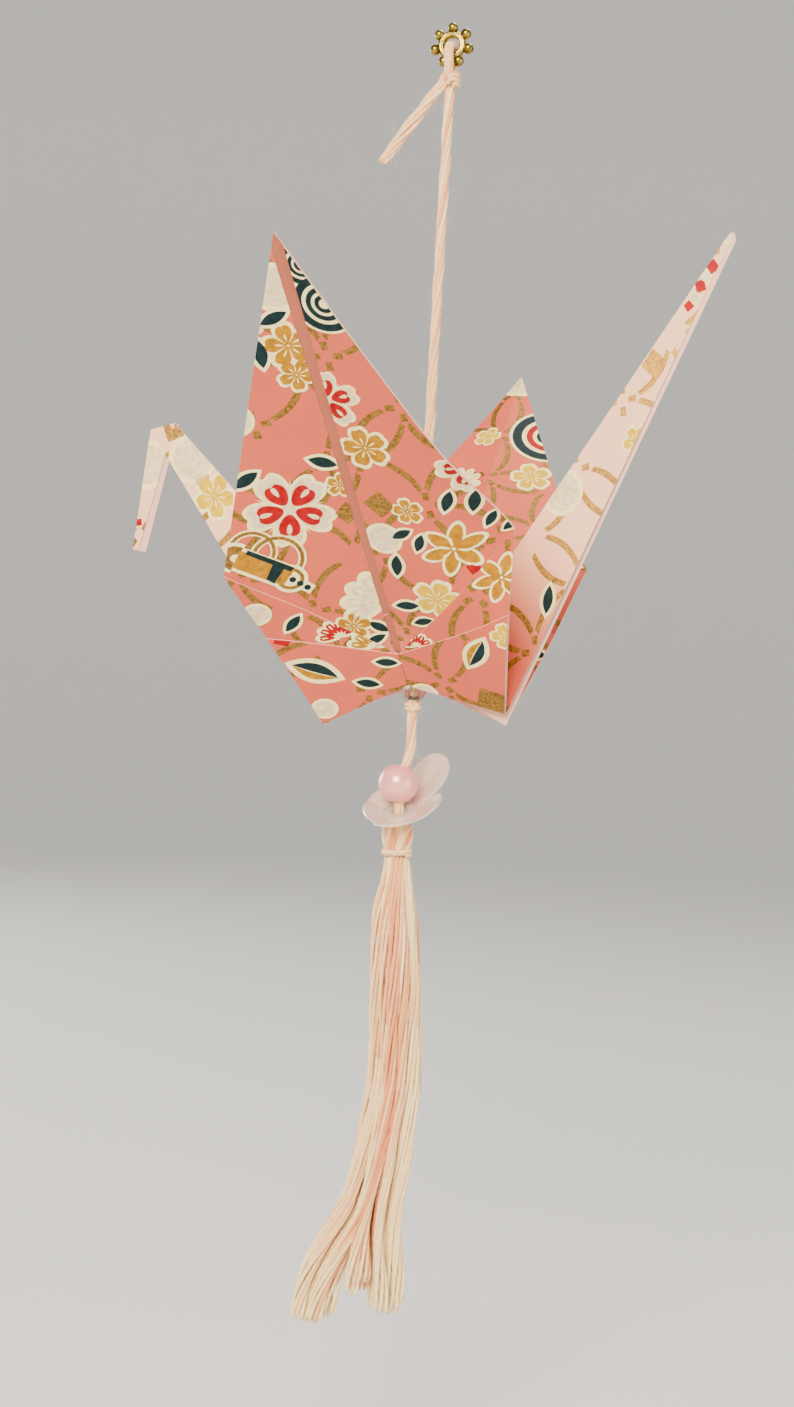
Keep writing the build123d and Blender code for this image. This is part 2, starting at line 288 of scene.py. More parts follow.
class Shading:
    """A material's nodes, made by name with their settings and inputs."""

    def __init__(self, name: str) -> None:
        """Start a material with one Principled shader."""
        self.material = bpy.data.materials.new(name)
        self.material.use_nodes = True
        self.tree = self.material.node_tree
        self.shader = self.tree.nodes["Principled BSDF"]

    def node(
        self,
        kind: str,
        settings: dict[str, Any] | None = None,
        inputs: dict[Any, Any] | None = None,
        out: Any = 0,
    ) -> Node:
        """Add a node.

        Args:
            kind: the node's type.
            settings: its properties; stops gives a ramp's places and colours.
            inputs: values or nodes for its sockets, by name or number.
            out: the output that is wanted.

        Returns:
            That output, wrapped.
        """
        node = self.tree.nodes.new(kind)
        for key, value in (settings or {}).items():
            if key == "stops":
                ramp = node.color_ramp
                while len(ramp.elements) < len(value):
                    ramp.elements.new(0.5)
                for element, (place, colour) in zip(ramp.elements, value):
                    element.position, element.color = place, (*colour, 1.0)
            else:
                setattr(node, key, value)
        for key, value in (inputs or {}).items():
            self.feed(node.inputs[key], value)
        return Node(self, node.outputs[out])

    def feed(self, socket: Any, value: Any) -> None:
        """Link a wrapped value to a socket, or set a plain one on it."""
        if isinstance(value, Node):
            self.tree.links.new(value.socket, socket)
        elif isinstance(value, tuple) and len(value) == 3 and socket.type == "RGBA":
            socket.default_value = (*value, 1.0)
        else:
            socket.default_value = value

    def principled(self, **inputs: Any) -> None:
        """Set or link the shader's sockets, with spaces in their names written as underscores."""
        for key, value in inputs.items():
            self.feed(self.shader.inputs[key.replace("_", " ")], value)

    def place(self) -> Node:
        """The piece's own coordinates."""
        return self.node("ShaderNodeTexCoord", out="Object")

    def value(self, name: str) -> Node:
        """A number kept at the mesh's points."""
        return self.node("ShaderNodeAttribute", {"attribute_name": name}, out="Fac")

    def noise(self, scale: float, detail: float = 2.0, rough: float = 0.5) -> Node:
        """Soft noise with a scale in features to the metre."""
        inputs = {"Vector": self.place(), "Scale": scale, "Detail": detail, "Roughness": rough}
        return self.node("ShaderNodeTexNoise", {}, inputs)

    def mix(self, factor: Any, a: Any, b: Any) -> Node:
        """A colour between two others."""
        return self.node("ShaderNodeMix", {"data_type": "RGBA"}, {0: factor, 6: a, 7: b}, 2)

    def ramp(self, value: Node, *stops: tuple[float, Colour]) -> Node:
        """A colour looked up along a ramp."""
        return self.node("ShaderNodeValToRGB", {"stops": stops}, {0: value})

    def bump(self, height: Node, depth: float, strength: float) -> Node:
        """A normal turned by a height, in metres."""
        return self.node("ShaderNodeBump", {}, {"Height": height, "Distance": depth, "Strength": strength})


class Finish:
    """A finish that makes its material once, from the inputs that it gives the shader."""

    name: str
    made: dict[Any, bpy.types.Material] = {}

    def material(self) -> bpy.types.Material:
        """The finish's material."""
        if self not in Finish.made:
            shading = Shading(self.name)
            shading.principled(**self.inputs(shading))
            Finish.made[self] = shading.material
        return Finish.made[self]

    def inputs(self, s: Shading) -> dict[str, Any]:
        """The shader's inputs, with spaces in their names written as underscores."""
        raise NotImplementedError


@dataclass(frozen=True)
class Paper(Finish):
    """Thin soft paper: a ground colour with faint fibres and clouds, and paler where the sheet's painted
    highlight says.

    The scales of the fibres, the clouds and the slow waves are in features to the metre.
    """

    name: str
    colour: Colour
    deep: Colour
    # The pale colour that the painted highlight mixes in.
    pale: Colour
    roughness: float = 0.55
    fibres: float = 2600.0
    clouds: float = 140.0
    waves: float = 70.0
    relief: float = 0.0006

    def inputs(self, s: Shading) -> dict[str, Any]:
        """Cloud the colour slowly, pale it by the painted highlight, and raise fine fibres on slow waves."""
        fibre = s.noise(self.fibres, 3, 0.6)
        cloud = s.noise(self.clouds, 2)
        # Painted highlight: how far the ground is mixed towards the pale colour.
        fade = s.value("fade")
        tone = s.mix(fade, s.mix(cloud * 0.7 + fibre * 0.3, self.deep, self.colour), self.pale)
        return dict(
            Base_Color=tone,
            Roughness=fibre * 0.12 + (self.roughness - 0.06),
            Specular_IOR_Level=0.25,
            Sheen_Weight=0.05,
            Normal=s.bump(fibre * 0.12 + s.noise(self.waves, 1), self.relief, 0.5),
        )


@dataclass(frozen=True)
class Printing(Finish):
    """An opaque printing ink with slight unevenness."""

    name: str
    colour: Colour
    deep: Colour
    roughness: float = 0.5
    metallic: float = 0.0
    grain: float = 1500.0
    relief: float = 0.00002

    def inputs(self, s: Shading) -> dict[str, Any]:
        """Mottle the ink between two tones."""
        grain = s.noise(self.grain, 2)
        tone = s.ramp(grain, (0.36, self.deep), (0.62, self.colour))
        return dict(
            Base_Color=tone,
            Roughness=grain * 0.2 + (self.roughness - 0.1),
            Metallic=self.metallic,
            Specular_IOR_Level=0.12,
            Normal=s.bump(grain, self.relief, 0.25),
        )


@dataclass(frozen=True)
class Floss(Finish):
    """Mercerised cotton floss, dyed in runs from pink to cream, with twisted fibres."""

    name: str
    pink: Colour
    cream: Colour
    fibres: float = 2400.0
    relief: float = 0.00005

    def inputs(self, s: Shading) -> dict[str, Any]:
        """Colour by each strand's shade, and raise a slanting twist along it."""
        shade = s.value("shade")
        twist = s.value("twist")
        fibre = s.noise(self.fibres, 2)
        tone = s.ramp(shade + (fibre - 0.5) * 0.25, (0.0, self.pink), (1.0, self.cream))
        ply = twist.maths("SINE", twist)
        return dict(
            Base_Color=tone,
            Roughness=fibre * 0.2 + 0.42,
            Specular_IOR_Level=0.45,
            Sheen_Weight=0.35,
            Sheen_Roughness=0.4,
            Normal=s.bump(ply * 0.7 + fibre * 0.6, self.relief, 0.6),
        )


@dataclass(frozen=True)
class Gold(Finish):
    """Antique gold plate, darker and duller in patches."""

    name: str = "antique_gold"
    dark: Colour = (0.12, 0.085, 0.012)
    middle: Colour = (0.40, 0.29, 0.055)
    bright: Colour = (0.62, 0.47, 0.13)
    patches: float = 900.0
    relief: float = 0.00003

    def inputs(self, s: Shading) -> dict[str, Any]:
        """Tarnish by noise."""
        wear = s.noise(self.patches, 3, 0.6)
        tone = s.ramp(wear, (0.35, self.dark), (0.55, self.middle), (0.8, self.bright))
        return dict(
            Base_Color=tone,
            Metallic=1.0,
            Roughness=wear * -0.2 + 0.34,
            Normal=s.bump(wear, self.relief, 0.4),
        )


@dataclass(frozen=True)
class Pearl(Finish):
    """Pink pearl lacquer over plastic."""

    name: str = "pink_pearl"
    deep: Colour = (0.80, 0.26, 0.26)
    pale: Colour = (0.90, 0.44, 0.42)
    swirls: float = 420.0

    def inputs(self, s: Shading) -> dict[str, Any]:
        """A soft swirl of two pinks under a clear coat."""
        swirl = s.noise(self.swirls, 2)
        return dict(
            Base_Color=s.mix(swirl, self.deep, self.pale),
            Metallic=0.18,
            Roughness=swirl * 0.1 + 0.24,
            Coat_Weight=0.8,
            Coat_Roughness=0.08,
        )


@dataclass(frozen=True)
class Clear(Finish):
    """Clear or frosted glassy plastic."""

    name: str
    colour: Colour
    roughness: float
    transmission: float
    ior: float = 1.5
    clouds: float = 700.0

    def inputs(self, s: Shading) -> dict[str, Any]:
        """Light goes through, with a little haze that varies."""
        haze = s.noise(self.clouds, 2)
        return dict(
            Base_Color=s.mix(haze, tuple(c * 0.94 for c in self.colour), self.colour),
            Roughness=haze * (self.roughness * 0.6) + self.roughness * 0.7,
            Transmission_Weight=self.transmission,
            IOR=self.ior,
        )


@dataclass(frozen=True)
class Backdrop(Finish):
    """Plain pale studio card that lets light through, as a tent's cloth does."""

    name: str = "studio_card"
    grey: Colour = (0.62, 0.62, 0.62)
    glow: Colour = (1.0, 0.97, 0.94)
    glow_strength: float = 0.21

    def inputs(self, s: Shading) -> dict[str, Any]:
        """A matt pale grey with a faint glow."""
        return dict(
            Base_Color=self.grey,
            Roughness=0.95,
            Emission_Color=self.glow,
            Emission_Strength=self.glow_strength,
        )


class Ply(Enum):
    """The layers of the folded sheet that show."""

    WING_OUTER = 1
    WING_INNER = 2
    HUMP = 3
    LEG_INNER = 4
    FLAP_WING = 5
    FLAP_LEG = 6


@dataclass(frozen=True)
class Creases:
    """The crease pattern of the flat-folded crane, in halves of the sheet's side."""

    leg_angle: float = 22.5
    reverse_angle: float = 19.4

    @property
    def leg(self) -> float:
        """The slope of the leg's edge."""
        return math.tan(math.radians(self.leg_angle))

    @property
    def narrow(self) -> float:
        """The slope of the narrowing crease."""
        return math.tan(math.radians(self.leg_angle / 2))

    @property
    def flap_top(self) -> float:
        """The height of the flaps' inner corner."""
        return math.sqrt(1 + self.leg**2) - 1

    @property
    def corner(self) -> Array:
        """The wing's lower corner, where the narrowing crease meets the wing's edge."""
        h = (self.leg - self.narrow) / (self.leg + self.narrow)
        return np.array([self.narrow * (1 + h), h])

    @property
    def step(self) -> Array:
        """Where the narrowing crease meets the hump's edge."""
        h = (self.leg - self.narrow) / (1 + self.narrow)
        return np.array([self.narrow * (1 + h), h])

    @property
    def knee(self) -> Array:
        """The body's bottom corner, at the foot of the neck or the tail."""
        slope = math.tan(math.radians(self.reverse_angle))
        x = self.narrow / (1 + self.narrow * slope)
        return np.array([x, -x * slope])

    def on_sheet(self, ply: Ply, side: int, end: int, flat: Array) -> Array:
        """Where points of a folded layer lie on the flat sheet.

        The sheet's centre is zero, its first axis runs to the tail's corner and its second to the far
        wing's. The outer layer is turned by an eighth about the side's middle, the others lie along a
        diagonal, and a flap is first mirrored in the narrowing crease.

        Args:
            ply: the layer.
            side: NEAR or FAR.
            end: NECK or TAIL.
            flat: points of the folded layer, out from its middle and up.

        Returns:
            Points on the sheet, in halves of its side.
        """
        x, z = flat[..., 0], flat[..., 1]
        if ply in (Ply.FLAP_WING, Ply.FLAP_LEG):
            a = math.radians(self.leg_angle)
            x, z = -x * math.cos(a) + (z + 1) * math.sin(a), x * math.sin(a) + (z + 1) * math.cos(a) - 1
        if ply is Ply.WING_OUTER:
            k = math.sqrt(0.5)
            p, q = k * (1 - z - x), k * (1 + z - x)
        elif ply in (Ply.WING_INNER, Ply.FLAP_WING):
            p, q = x, self.leg + z
        elif ply is Ply.HUMP:
            p, q = x, self.leg - z
        else:
            p, q = self.leg - z, x
        return np.stack([end * p, side * q], -1)

    def from_sheet(self, ply: Ply, side: int, end: int, sheet: Array) -> Array:
        """The folded layer's points for points of the flat sheet: the other way round."""
        basis = self.on_sheet(ply, side, end, np.array([[0.0, 0.0], [1.0, 0.0], [0.0, 1.0]]))
        return (sheet - basis[0]) @ np.linalg.inv(basis[1:] - basis[0])


Sheeting = Callable[[Array, Any], Array]


@dataclass(frozen=True)
class Printed:
    """Which part of the sheet shows on a panel's face, and within what outline."""

    ply: Ply
    side: int
    end: int
    outline: Array


@dataclass(frozen=True)
class Panel:
    """One flat or gently bent piece of the folded sheet.

    Its two faces lie off its surface by so many millimetres, the low one inwards and the high one outwards.
    """

    outline: Array
    surface: Sheeting
    low: float
    high: float
    front: Printed | None = None
    back: Printed | None = None


@dataclass(frozen=True)
class Half:
    """One wing with its side of the body: two panels that meet along the wing's middle line.

    Angles are in degrees. The roll and the flare, which bend the lower corners, the ripple and the drop are
    in millimetres. Where a bend starts and how far it grows are shares of the corner's width. The rest is
    in halves of the sheet's side.
    """

    side: int
    out: float
    lean: float
    keel_neck: float
    keel_tail: float
    roll: float
    flare: float
    unit_mm: float
    drop: float
    foot: tuple[float, float] = (0.047, -0.036)
    bend_from: float = 0.42
    bend_over: float = 0.62
    bend_height: float = 0.17
    ripple: float = 0.12
    ripple_waves: tuple[float, float] = (9.0, 4.0)

    def axes(self, end: int) -> tuple[Array, Array, Array, Array]:
        """The foot, and the directions up the wing, out to an end, and outwards from the face."""
        o, t = math.radians(self.out), math.radians(self.lean)
        up = np.array([math.sin(t), self.side * math.sin(o) * math.cos(t), math.cos(o) * math.cos(t)])
        foot = np.array([0, self.side * self.foot[0], self.foot[1]])
        across = unit(np.array([1.0, 0, 0]) - up * up[0])
        if end == NECK:
            arm = turned(-across, up, -self.side * self.keel_neck)
        else:
            arm = turned(across, up, self.side * self.keel_tail)
        face = np.cross(arm, up)
        return foot, up, arm, face * np.sign(face[1] * self.side)

    def surface(self, end: int) -> Sheeting:
        """The panel's surface: out along the arm and up the wing, with its lower corner bent in or out.

        The bend grows as a soft step over the outer part of the width and falls off as a bell with the
        height above or below the corner. A faint ripple, a sine of the height and the width, is added
        above the foot. A lift moves the point along the face.
        """
        foot, up, arm, face = self.axes(end)
        corner = Creases().corner
        most = -self.roll if end == TAIL else self.flare

        def at(flat: Array, lift: Any) -> Array:
            """Points of the panel, lifted off its face."""
            x, h = flat[..., 0], flat[..., 1]
            bell = np.exp(-(((h - corner[1]) / self.bend_height) ** 2))
            bend = smooth((x / corner[0] - self.bend_from) / self.bend_over) * bell * most
            wave = np.sin(self.ripple_waves[0] * h + self.ripple_waves[1] * x * end)
            bend = bend + self.ripple * wave * smooth(x / 0.1) * smooth((h - 0.1) / 0.2)
            p = (foot + x[..., None] * arm + h[..., None] * up) * self.unit_mm
            p = p + face * (bend + lift)[..., None]
            return (p - np.array([0, 0, self.drop])) * MM

        return at


def flat_panel(flat: Array, points: Array, outward: Array) -> Sheeting:
    """The surface of a flat panel: the plane through three corners, lifted along its outward face."""
    basis = np.linalg.inv(flat[1:3] - flat[0])
    face = unit(np.cross(points[1] - points[0], points[2] - points[0]))
    face = face * np.sign(face @ outward)

    def at(where: Array, lift: Any) -> Array:
        """Points of the panel, lifted off its face."""
        shares = (where - flat[0]) @ basis
        rise = face * (np.asarray(lift) * MM)[..., None]
        return points[0] + shares @ (points[1:3] - points[0]) + rise

    return at


def meshed(outline: Array, step: float) -> tuple[Array, Array, Array]:
    """Fill a convex outline with small triangles.

    Each triangle of a fan from the first corner is divided evenly, as weights i, j and n - i - j of its
    corners.

    Args:
        outline: the corners in order.
        step: the wanted size of a triangle.

    Returns:
        The points, the triangles and the rim's edges.
    """
    size = np.linalg.norm(outline - outline[0], axis=1).max()
    n = max(2, math.ceil(size / step))
    i, j = np.meshgrid(np.arange(n + 1), np.arange(n + 1), indexing="ij")
    inside = i + j <= n
    number = np.full(i.shape, -1)
    number[inside] = np.arange(inside.sum())
    weight = np.stack([n - i - j, i, j], -1)[inside] / n
    a = number[:-1, :-1], number[1:, :-1], number[:-1, 1:], number[1:, 1:]
    lower, upper = np.stack(a[:3], -1), np.stack([a[1], a[3], a[2]], -1)
    cells = np.concatenate([lower.reshape(-1, 3), upper.reshape(-1, 3)])
    cells = cells[(cells >= 0).all(1)]
    fans = [np.array([outline[0], outline[k], outline[k + 1]]) for k in range(1, len(outline) - 1)]
    points = np.concatenate([weight @ fan for fan in fans])
    faces = np.concatenate([cells + k * len(weight) for k in range(len(fans))])
    _, first, back = np.unique(np.round(points, 6), axis=0, return_index=True, return_inverse=True)
    points, faces = points[first], back.reshape(-1)[faces]
    edges = np.concatenate([faces[:, [0, 1]], faces[:, [1, 2]], faces[:, [2, 0]]])
    _, first, uses = np.unique(np.sort(edges, axis=1), axis=0, return_index=True, return_counts=True)
    return points, faces, edges[first[uses == 1]]


def clipped(shapes: Array, outline: Array) -> Array:
    """Triangles cut to a convex outline, one edge at a time.

    A triangle with one corner inside keeps that corner and two cuts. One with two inside keeps both and is
    made into two triangles.

    Args:
        shapes: triangles, as count by three by two.
        outline: the outline's corners.

    Returns:
        The triangles that are left.
    """
    centre = outline.mean(0)
    for a, b in zip(outline, np.roll(outline, -1, 0)):
        inward = np.array([a[1] - b[1], b[0] - a[0]])
        inward = inward * np.sign(inward @ (centre - a))
        depth = (shapes - a) @ inward
        count = (depth > 0).sum(1)
        parts = [shapes[count == 3]]
        for inside in (1, 2):
            cut, d = shapes[count == inside], depth[count == inside]
            lone = np.argmax((d > 0) if inside == 1 else (d <= 0), axis=1)
            order = (lone[:, None] + np.arange(3)) % 3
            cut = np.take_along_axis(cut, order[..., None], 1)
            d = np.take_along_axis(d, order, 1)
            first = cut[:, 0] + (cut[:, 1] - cut[:, 0]) * (d[:, :1] / (d[:, :1] - d[:, 1:2]))
            second = cut[:, 0] + (cut[:, 2] - cut[:, 0]) * (d[:, :1] / (d[:, :1] - d[:, 2:3]))
            if inside == 1:
                parts.append(np.stack([cut[:, 0], first, second], 1))
            else:
                parts += [np.stack([first, cut[:, 1], cut[:, 2]], 1), np.stack([first, cut[:, 2], second], 1)]
        shapes = np.concatenate(parts)
    return shapes


@dataclass(frozen=True)
class Crane:
    """The folded sheet: its fold angles and lengths, and the panels that they make.

    The sheet's side, its ply, the drop, the brow's spread and the clearances between layers are in
    millimetres, angles in degrees, the rest in halves of the sheet's side. Pairs that begin with worn are
    for the near and the far arm. The tail's wear is given as corners: a share of its worn width, and a
    place along it.
    """

    sheet_side: float = 118.0
    ply: float = 0.11
    drop: float = 72.0
    neck_rise: float = 44.0
    neck_to_head: float = 0.717
    head_crease: float = -16.0
    tail_rise: float = 58.3
    tail_spine: float = 1.03
    arm_half_gap: float = 0.008
    spine_foot: tuple[float, float] = (0.024, -0.030)
    valley: tuple[float, float] = (0.085, 0.090)
    crest: float = 0.2
    web_foot: float = 0.004
    web_corner: tuple[float, float] = (0.05, 0.08)
    slit: float = 0.022
    flap_inset: float = 0.0015
    seam: float = 0.012
    upper_flap_clear: float = 0.03
    lower_flap_clear: float = 0.05
    arm_seam: float = 0.01
    beak_clear: float = 0.01
    beak_plies: float = 1.6
    brow_spread: float = 0.16
    worn_tail: tuple[float, float] = (0.009, 0.019)
    tail_wear: tuple[tuple[float, float], ...] = ((0.0, -0.994), (0.45, -1.004), (1.0, -0.996))
    worn_beak: tuple[float, float] = (0.002, 0.02)
    mesh_step: float = 0.03
    # Where the painted highlight towards the neck and the tail starts along the sheet's diagonal, and how far
    # it grows.
    highlight_from: float = 0.55
    highlight_over: float = 0.3
    creases: Creases = Creases()

    @property
    def unit_mm(self) -> float:
        """Half the sheet's side."""
        return self.sheet_side / 2

    def place(self, x: float, y: float, z: float) -> Array:
        """A point given in halves of the sheet's side, in the part's frame."""
        return (np.array([x, y, z]) * self.unit_mm - np.array([0, 0, self.drop])) * MM

    def halves(self) -> list[Half]:
        """The near and the far half."""
        size = {"unit_mm": self.unit_mm, "drop": self.drop}
        near = Half(NEAR, out=45.8, lean=-3.7, keel_neck=13.9, keel_tail=3.0, roll=3.0, flare=0.9, **size)
        far = Half(FAR, out=42.8, lean=0.8, keel_neck=9.9, keel_tail=8.0, roll=2.2, flare=0.4, **size)
        return [near, far]

    def apex(self, half: Half) -> Array:
        """The top of the hump, from the height that its face keeps above the line it turns up from."""
        foot, up, _, _ = half.axes(TAIL)
        step = self.creases.step[1]
        rise = foot + up * step
        return self.place(0, 0, rise[2] + math.sqrt((self.creases.leg - step) ** 2 - rise[1] ** 2))

    def wing_panels(self, half: Half, end: int) -> list[Panel]:
        """The wing's inner and outer layer, and the body flap's two steps."""
        c, t = self.creases, self.ply
        at = half.surface(end)
        tip, foot, top = np.array([0, 1.0]), np.array([0, 0.0]), np.array([0, c.flap_top])
        slit = np.array([self.slit / 2, 1 - self.slit / 2 / c.leg])
        mid = np.array([0, c.step[1]])
        inset, beside = np.array([self.flap_inset, 0.0]), np.array([self.slit / 3, 0.0])
        inner = Printed(Ply.WING_INNER, half.side, end, np.array([tip, mid, c.step, c.corner]))
        outer = Printed(Ply.WING_OUTER, half.side, end, np.array([slit, top + beside, c.corner]))
        upper = Printed(Ply.FLAP_WING, half.side, end, np.array([c.corner, c.step, top]))
        lower = Printed(Ply.FLAP_LEG, half.side, end, np.array([c.step, c.knee, foot, top]))
        under = np.array([tip, foot, c.knee, c.corner])
        over = np.array([slit, foot + beside, c.knee, c.corner])
        upper_flap = np.array([c.corner, c.knee, foot + inset, top + inset])
        lower_flap = np.array([c.step, c.knee, foot + inset, top + inset])
        low, high = self.upper_flap_clear, self.lower_flap_clear
        return [
            Panel(under, at, -t, 0.0, back=inner),
            Panel(over, at, self.seam, t, front=outer),
            Panel(upper_flap, at, t + low, 2 * t + low, front=upper),
            Panel(lower_flap, at, 2 * t + high, 3 * t + high, front=lower),
        ]

    def hump_panels(self, half: Half, end: int) -> list[Panel]:
        """The hump's face and the valley wall at one end, and the web under it."""
        c, t = self.creases, self.ply / 2
        at = half.surface(end)
        apex, mid = self.apex(self.halves()[0]), at(np.array([0, c.step[1]]), 0.0)
        step, knee = at(c.step, -self.ply), at(c.knee, 0.0)
        foot = at(np.array([0.0, self.web_foot]), 0.0)
        spine = self.place(end * self.spine_foot[0], 0, self.spine_foot[1])
        fold = self.place(end * self.valley[0], 0, self.valley[1])
        top, crest, low = np.array([0, c.leg]), np.array([0, self.crest]), np.array([0, 0.0])
        ahead = np.array([end, 0.0, 0.0])
        up_out = np.array([0, half.side, 1.0])

        def panel(flat: list[Array], points: list[Array], outward: Array, ply: Ply | None) -> Panel:
            """A flat panel through points, with its print where a ply is given."""
            corners = np.array(flat)
            shown = Printed(ply, half.side, end, corners) if ply else None
            return Panel(corners, flat_panel(corners, np.array(points), outward), -t, t, front=shown)

        return [
            panel([c.step, np.array([0, c.step[1]]), top], [step, mid, apex], up_out, Ply.HUMP),
            panel([top, c.step, crest], [apex, step, fold], ahead, Ply.LEG_INNER),
            panel([c.step, c.knee, crest], [step, knee, fold], ahead, Ply.LEG_INNER),
            panel([c.knee, low, crest], [knee, spine, fold], ahead, Ply.LEG_INNER),
            panel([c.knee, np.array(self.web_corner), low], [knee, foot, spine], -UP, None),
        ]

    def arm(
        self,
        half: Half,
        end: int,
        flat: list[Array],
        points: list[Array],
        ply: Ply = Ply.LEG_INNER,
        over: float = 1.0,
        under: float | None = None,
        cut: list[Array] | None = None,
    ) -> list[Panel]:
        """One side of a folded arm, in two layers.

        Args:
            half: the side.
            end: NECK or TAIL.
            flat: three corners on the folded layer.
            points: where these corners are.
            ply: the layer that its print is taken from.
            over: how far its outer face lies off the points, in plies.
            under: how far its inner face lies off them, in millimetres, or as far the other way.
            cut: another outline for it, where it isn't the three corners.

        Returns:
            The inner and the outer layer.
        """
        corners = np.array(flat)
        at = flat_panel(corners, np.array(points), np.array([0.0, half.side, 0.0]))
        corners = corners if cut is None else np.array(cut)
        high = over * self.ply
        low = -high if under is None else under
        middle = (low + high) / 2
        shown = Printed(ply, half.side, end, corners)
        return [
            Panel(corners, at, low, middle - self.arm_seam),
            Panel(corners, at, middle + self.arm_seam, high, front=shown),
        ]

    def arm_foot(self, half: Half, end: int) -> Array:
        """The foot of an arm's outer edge, on this side's face of the gap between its two sides."""
        p = half.surface(end)(self.creases.knee, 0.0)
        return np.array([p[0], half.side * self.arm_half_gap * self.unit_mm * MM, p[2]])

    def tail_panels(self, half: Half) -> list[Panel]:
        """One side of the tail, with its tip worn blunt."""
        low, knee = np.array([0, 0.0]), self.creases.knee
        rise = math.radians(self.tail_rise)
        spine = self.place(self.spine_foot[0], 0, self.spine_foot[1])
        tip = spine + np.array([math.cos(rise), 0, math.sin(rise)]) * self.tail_spine * (self.unit_mm * MM)
        blunt = self.worn_tail[half.side == FAR]
        wear = [np.array([blunt * share, along]) for share, along in self.tail_wear]
        worn = [low, *wear, knee + np.array([blunt * 0.3, 0])]
        corners = [spine, tip, self.arm_foot(half, TAIL)]
        return self.arm(half, TAIL, [low, np.array([0, -1.0]), knee], corners, cut=worn)

    def neck_panels(self, half: Half) -> list[Panel]:
        """One side of the neck and of the beak.

        The head's crease runs from the crown, and meets the neck's lower edge at the brow. The tip, mirrored
        in the crease, is the beak's.
        """
        knee, u = self.creases.knee, self.unit_mm * MM
        rise, tilt = math.radians(self.neck_rise), math.radians(self.head_crease)
        along = np.array([-math.cos(rise), 0, math.sin(rise)])
        spine = self.place(-self.spine_foot[0], 0, self.spine_foot[1])
        tip, crown = spine + along * u, spine + along * self.neck_to_head * u
        crease = np.array([-math.cos(tilt), 0, math.sin(tilt)])
        foot = self.arm_foot(half, NECK)
        edge = unit(np.array([foot[0], 0, foot[2]]) - tip)
        gap = tip - crown
        meets = crease[0] * edge[2] - crease[2] * edge[0]
        brow = crown + crease * (gap[0] * edge[2] - gap[2] * edge[0]) / meets
        beak = crown + crease * 2 * (gap @ crease) - gap
        reach = np.linalg.norm(brow - tip) / u
        narrow = math.radians(self.creases.leg_angle / 2)
        low, end = np.array([0, 0.0]), np.array([0, -1.0])
        brow_flat = np.array([math.sin(narrow) * reach, math.cos(narrow) * reach - 1])
        crown_flat = np.array([0, -self.neck_to_head])
        side_brow = brow + np.array([0.0, half.side, 0.0]) * self.brow_spread * MM
        spread = self.worn_beak[half.side == FAR]
        wear = [np.array([-spread, -0.985]), np.array([0.011, -0.99])]
        worn = [crown_flat - [spread / 2, 0], *wear, brow_flat]
        folded = {"ply": Ply.FLAP_LEG, "over": self.beak_plies, "under": self.beak_clear, "cut": worn}
        return [
            *self.arm(half, NECK, [low, crown_flat, knee], [spine, crown, foot]),
            *self.arm(half, NECK, [crown_flat, brow_flat, knee], [crown, side_brow, foot]),
            *self.arm(half, NECK, [crown_flat, brow_flat, end], [crown, brow, beak], **folded),
        ]

    def panels(self) -> list[Panel]:
        """All the panels of the folded sheet."""
        found: list[Panel] = []
        for half in self.halves():
            for end in (NECK, TAIL):
                found += self.wing_panels(half, end) + self.hump_panels(half, end)
            found += self.tail_panels(half) + self.neck_panels(half)
        return found

    def fade(self, panel: Panel, flat: Array) -> Array:
        """How far a painted highlight pales the ground: a soft step along the diagonal, to the neck and the
        tail.
        """
        shown = panel.front or panel.back
        if not shown:
            return np.zeros(len(flat))
        along = np.abs(self.creases.on_sheet(shown.ply, shown.side, shown.end, flat)[:, 0])
        return smooth((along - self.highlight_from) / self.highlight_over)

    def build(self, ground: Finish, back: Finish, inside: Finish) -> bpy.types.Object:
        """Make the folded sheet, each panel a thin closed plate.

        Args:
            ground: the printed side's finish.
            back: the finish of the bare side and the cut edges.
            inside: a darker finish, painted shade, for what shows of an inner layer through a slit.

        Returns:
            The sheet's object.
        """
        surface = Surface()
        for panel in self.panels():
            flat, faces, rim = meshed(panel.outline, self.mesh_step)
            n = len(flat)
            top, bottom = (panel.surface(flat, np.full(n, lift)) for lift in (panel.high, panel.low))
            a, b, c = top[faces[0]]
            if np.cross(b - a, c - a) @ (top[faces[0, 0]] - bottom[faces[0, 0]]) < 0:
                faces, rim = faces[:, ::-1], rim[:, ::-1]
            wall = np.stack([rim[:, 1], rim[:, 0], rim[:, 0] + n, rim[:, 1] + n], 1)
            # The painted highlight, kept at each point for the paper's shader.
            start, fade = surface.count, np.tile(self.fade(panel, flat), 2)
            # An inner layer's face in the slit takes the painted shade; its back shows the ground.
            front_slot, back_slot = (SLIT_SHADE, GROUND) if panel.back else (GROUND, BACK)
            surface.add(np.concatenate([top, bottom]), [faces], front_slot, fade=fade)
            surface.faces.append((faces[:, ::-1] + n + start, back_slot))
            surface.faces.append((wall + start, BACK))
        obj = surface.build("crane_sheet", [ground, back, inside], round_off=False)
        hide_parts("paper_crane")
        return obj


class Ink(Enum):
    """The printing inks, in the order in which they are laid."""

    GOLD = 0
    CREAM = 1
    PEARL = 2
    RED = 3
    YELLOW = 4
    OCHRE = 5
    GREEN = 6


class Motif(Enum):
    """The figures of the print."""

    SAKURA = 0
    PLUM = 1
    LILY = 2
    LEAF = 3
    DAISY = 4
    SQUARE = 5
    ROLL = 6
    WAVE = 7
    DISC = 8
    FAN = 9
    HOOP = 10


Shapes = list[tuple[Ink, int, Array]]


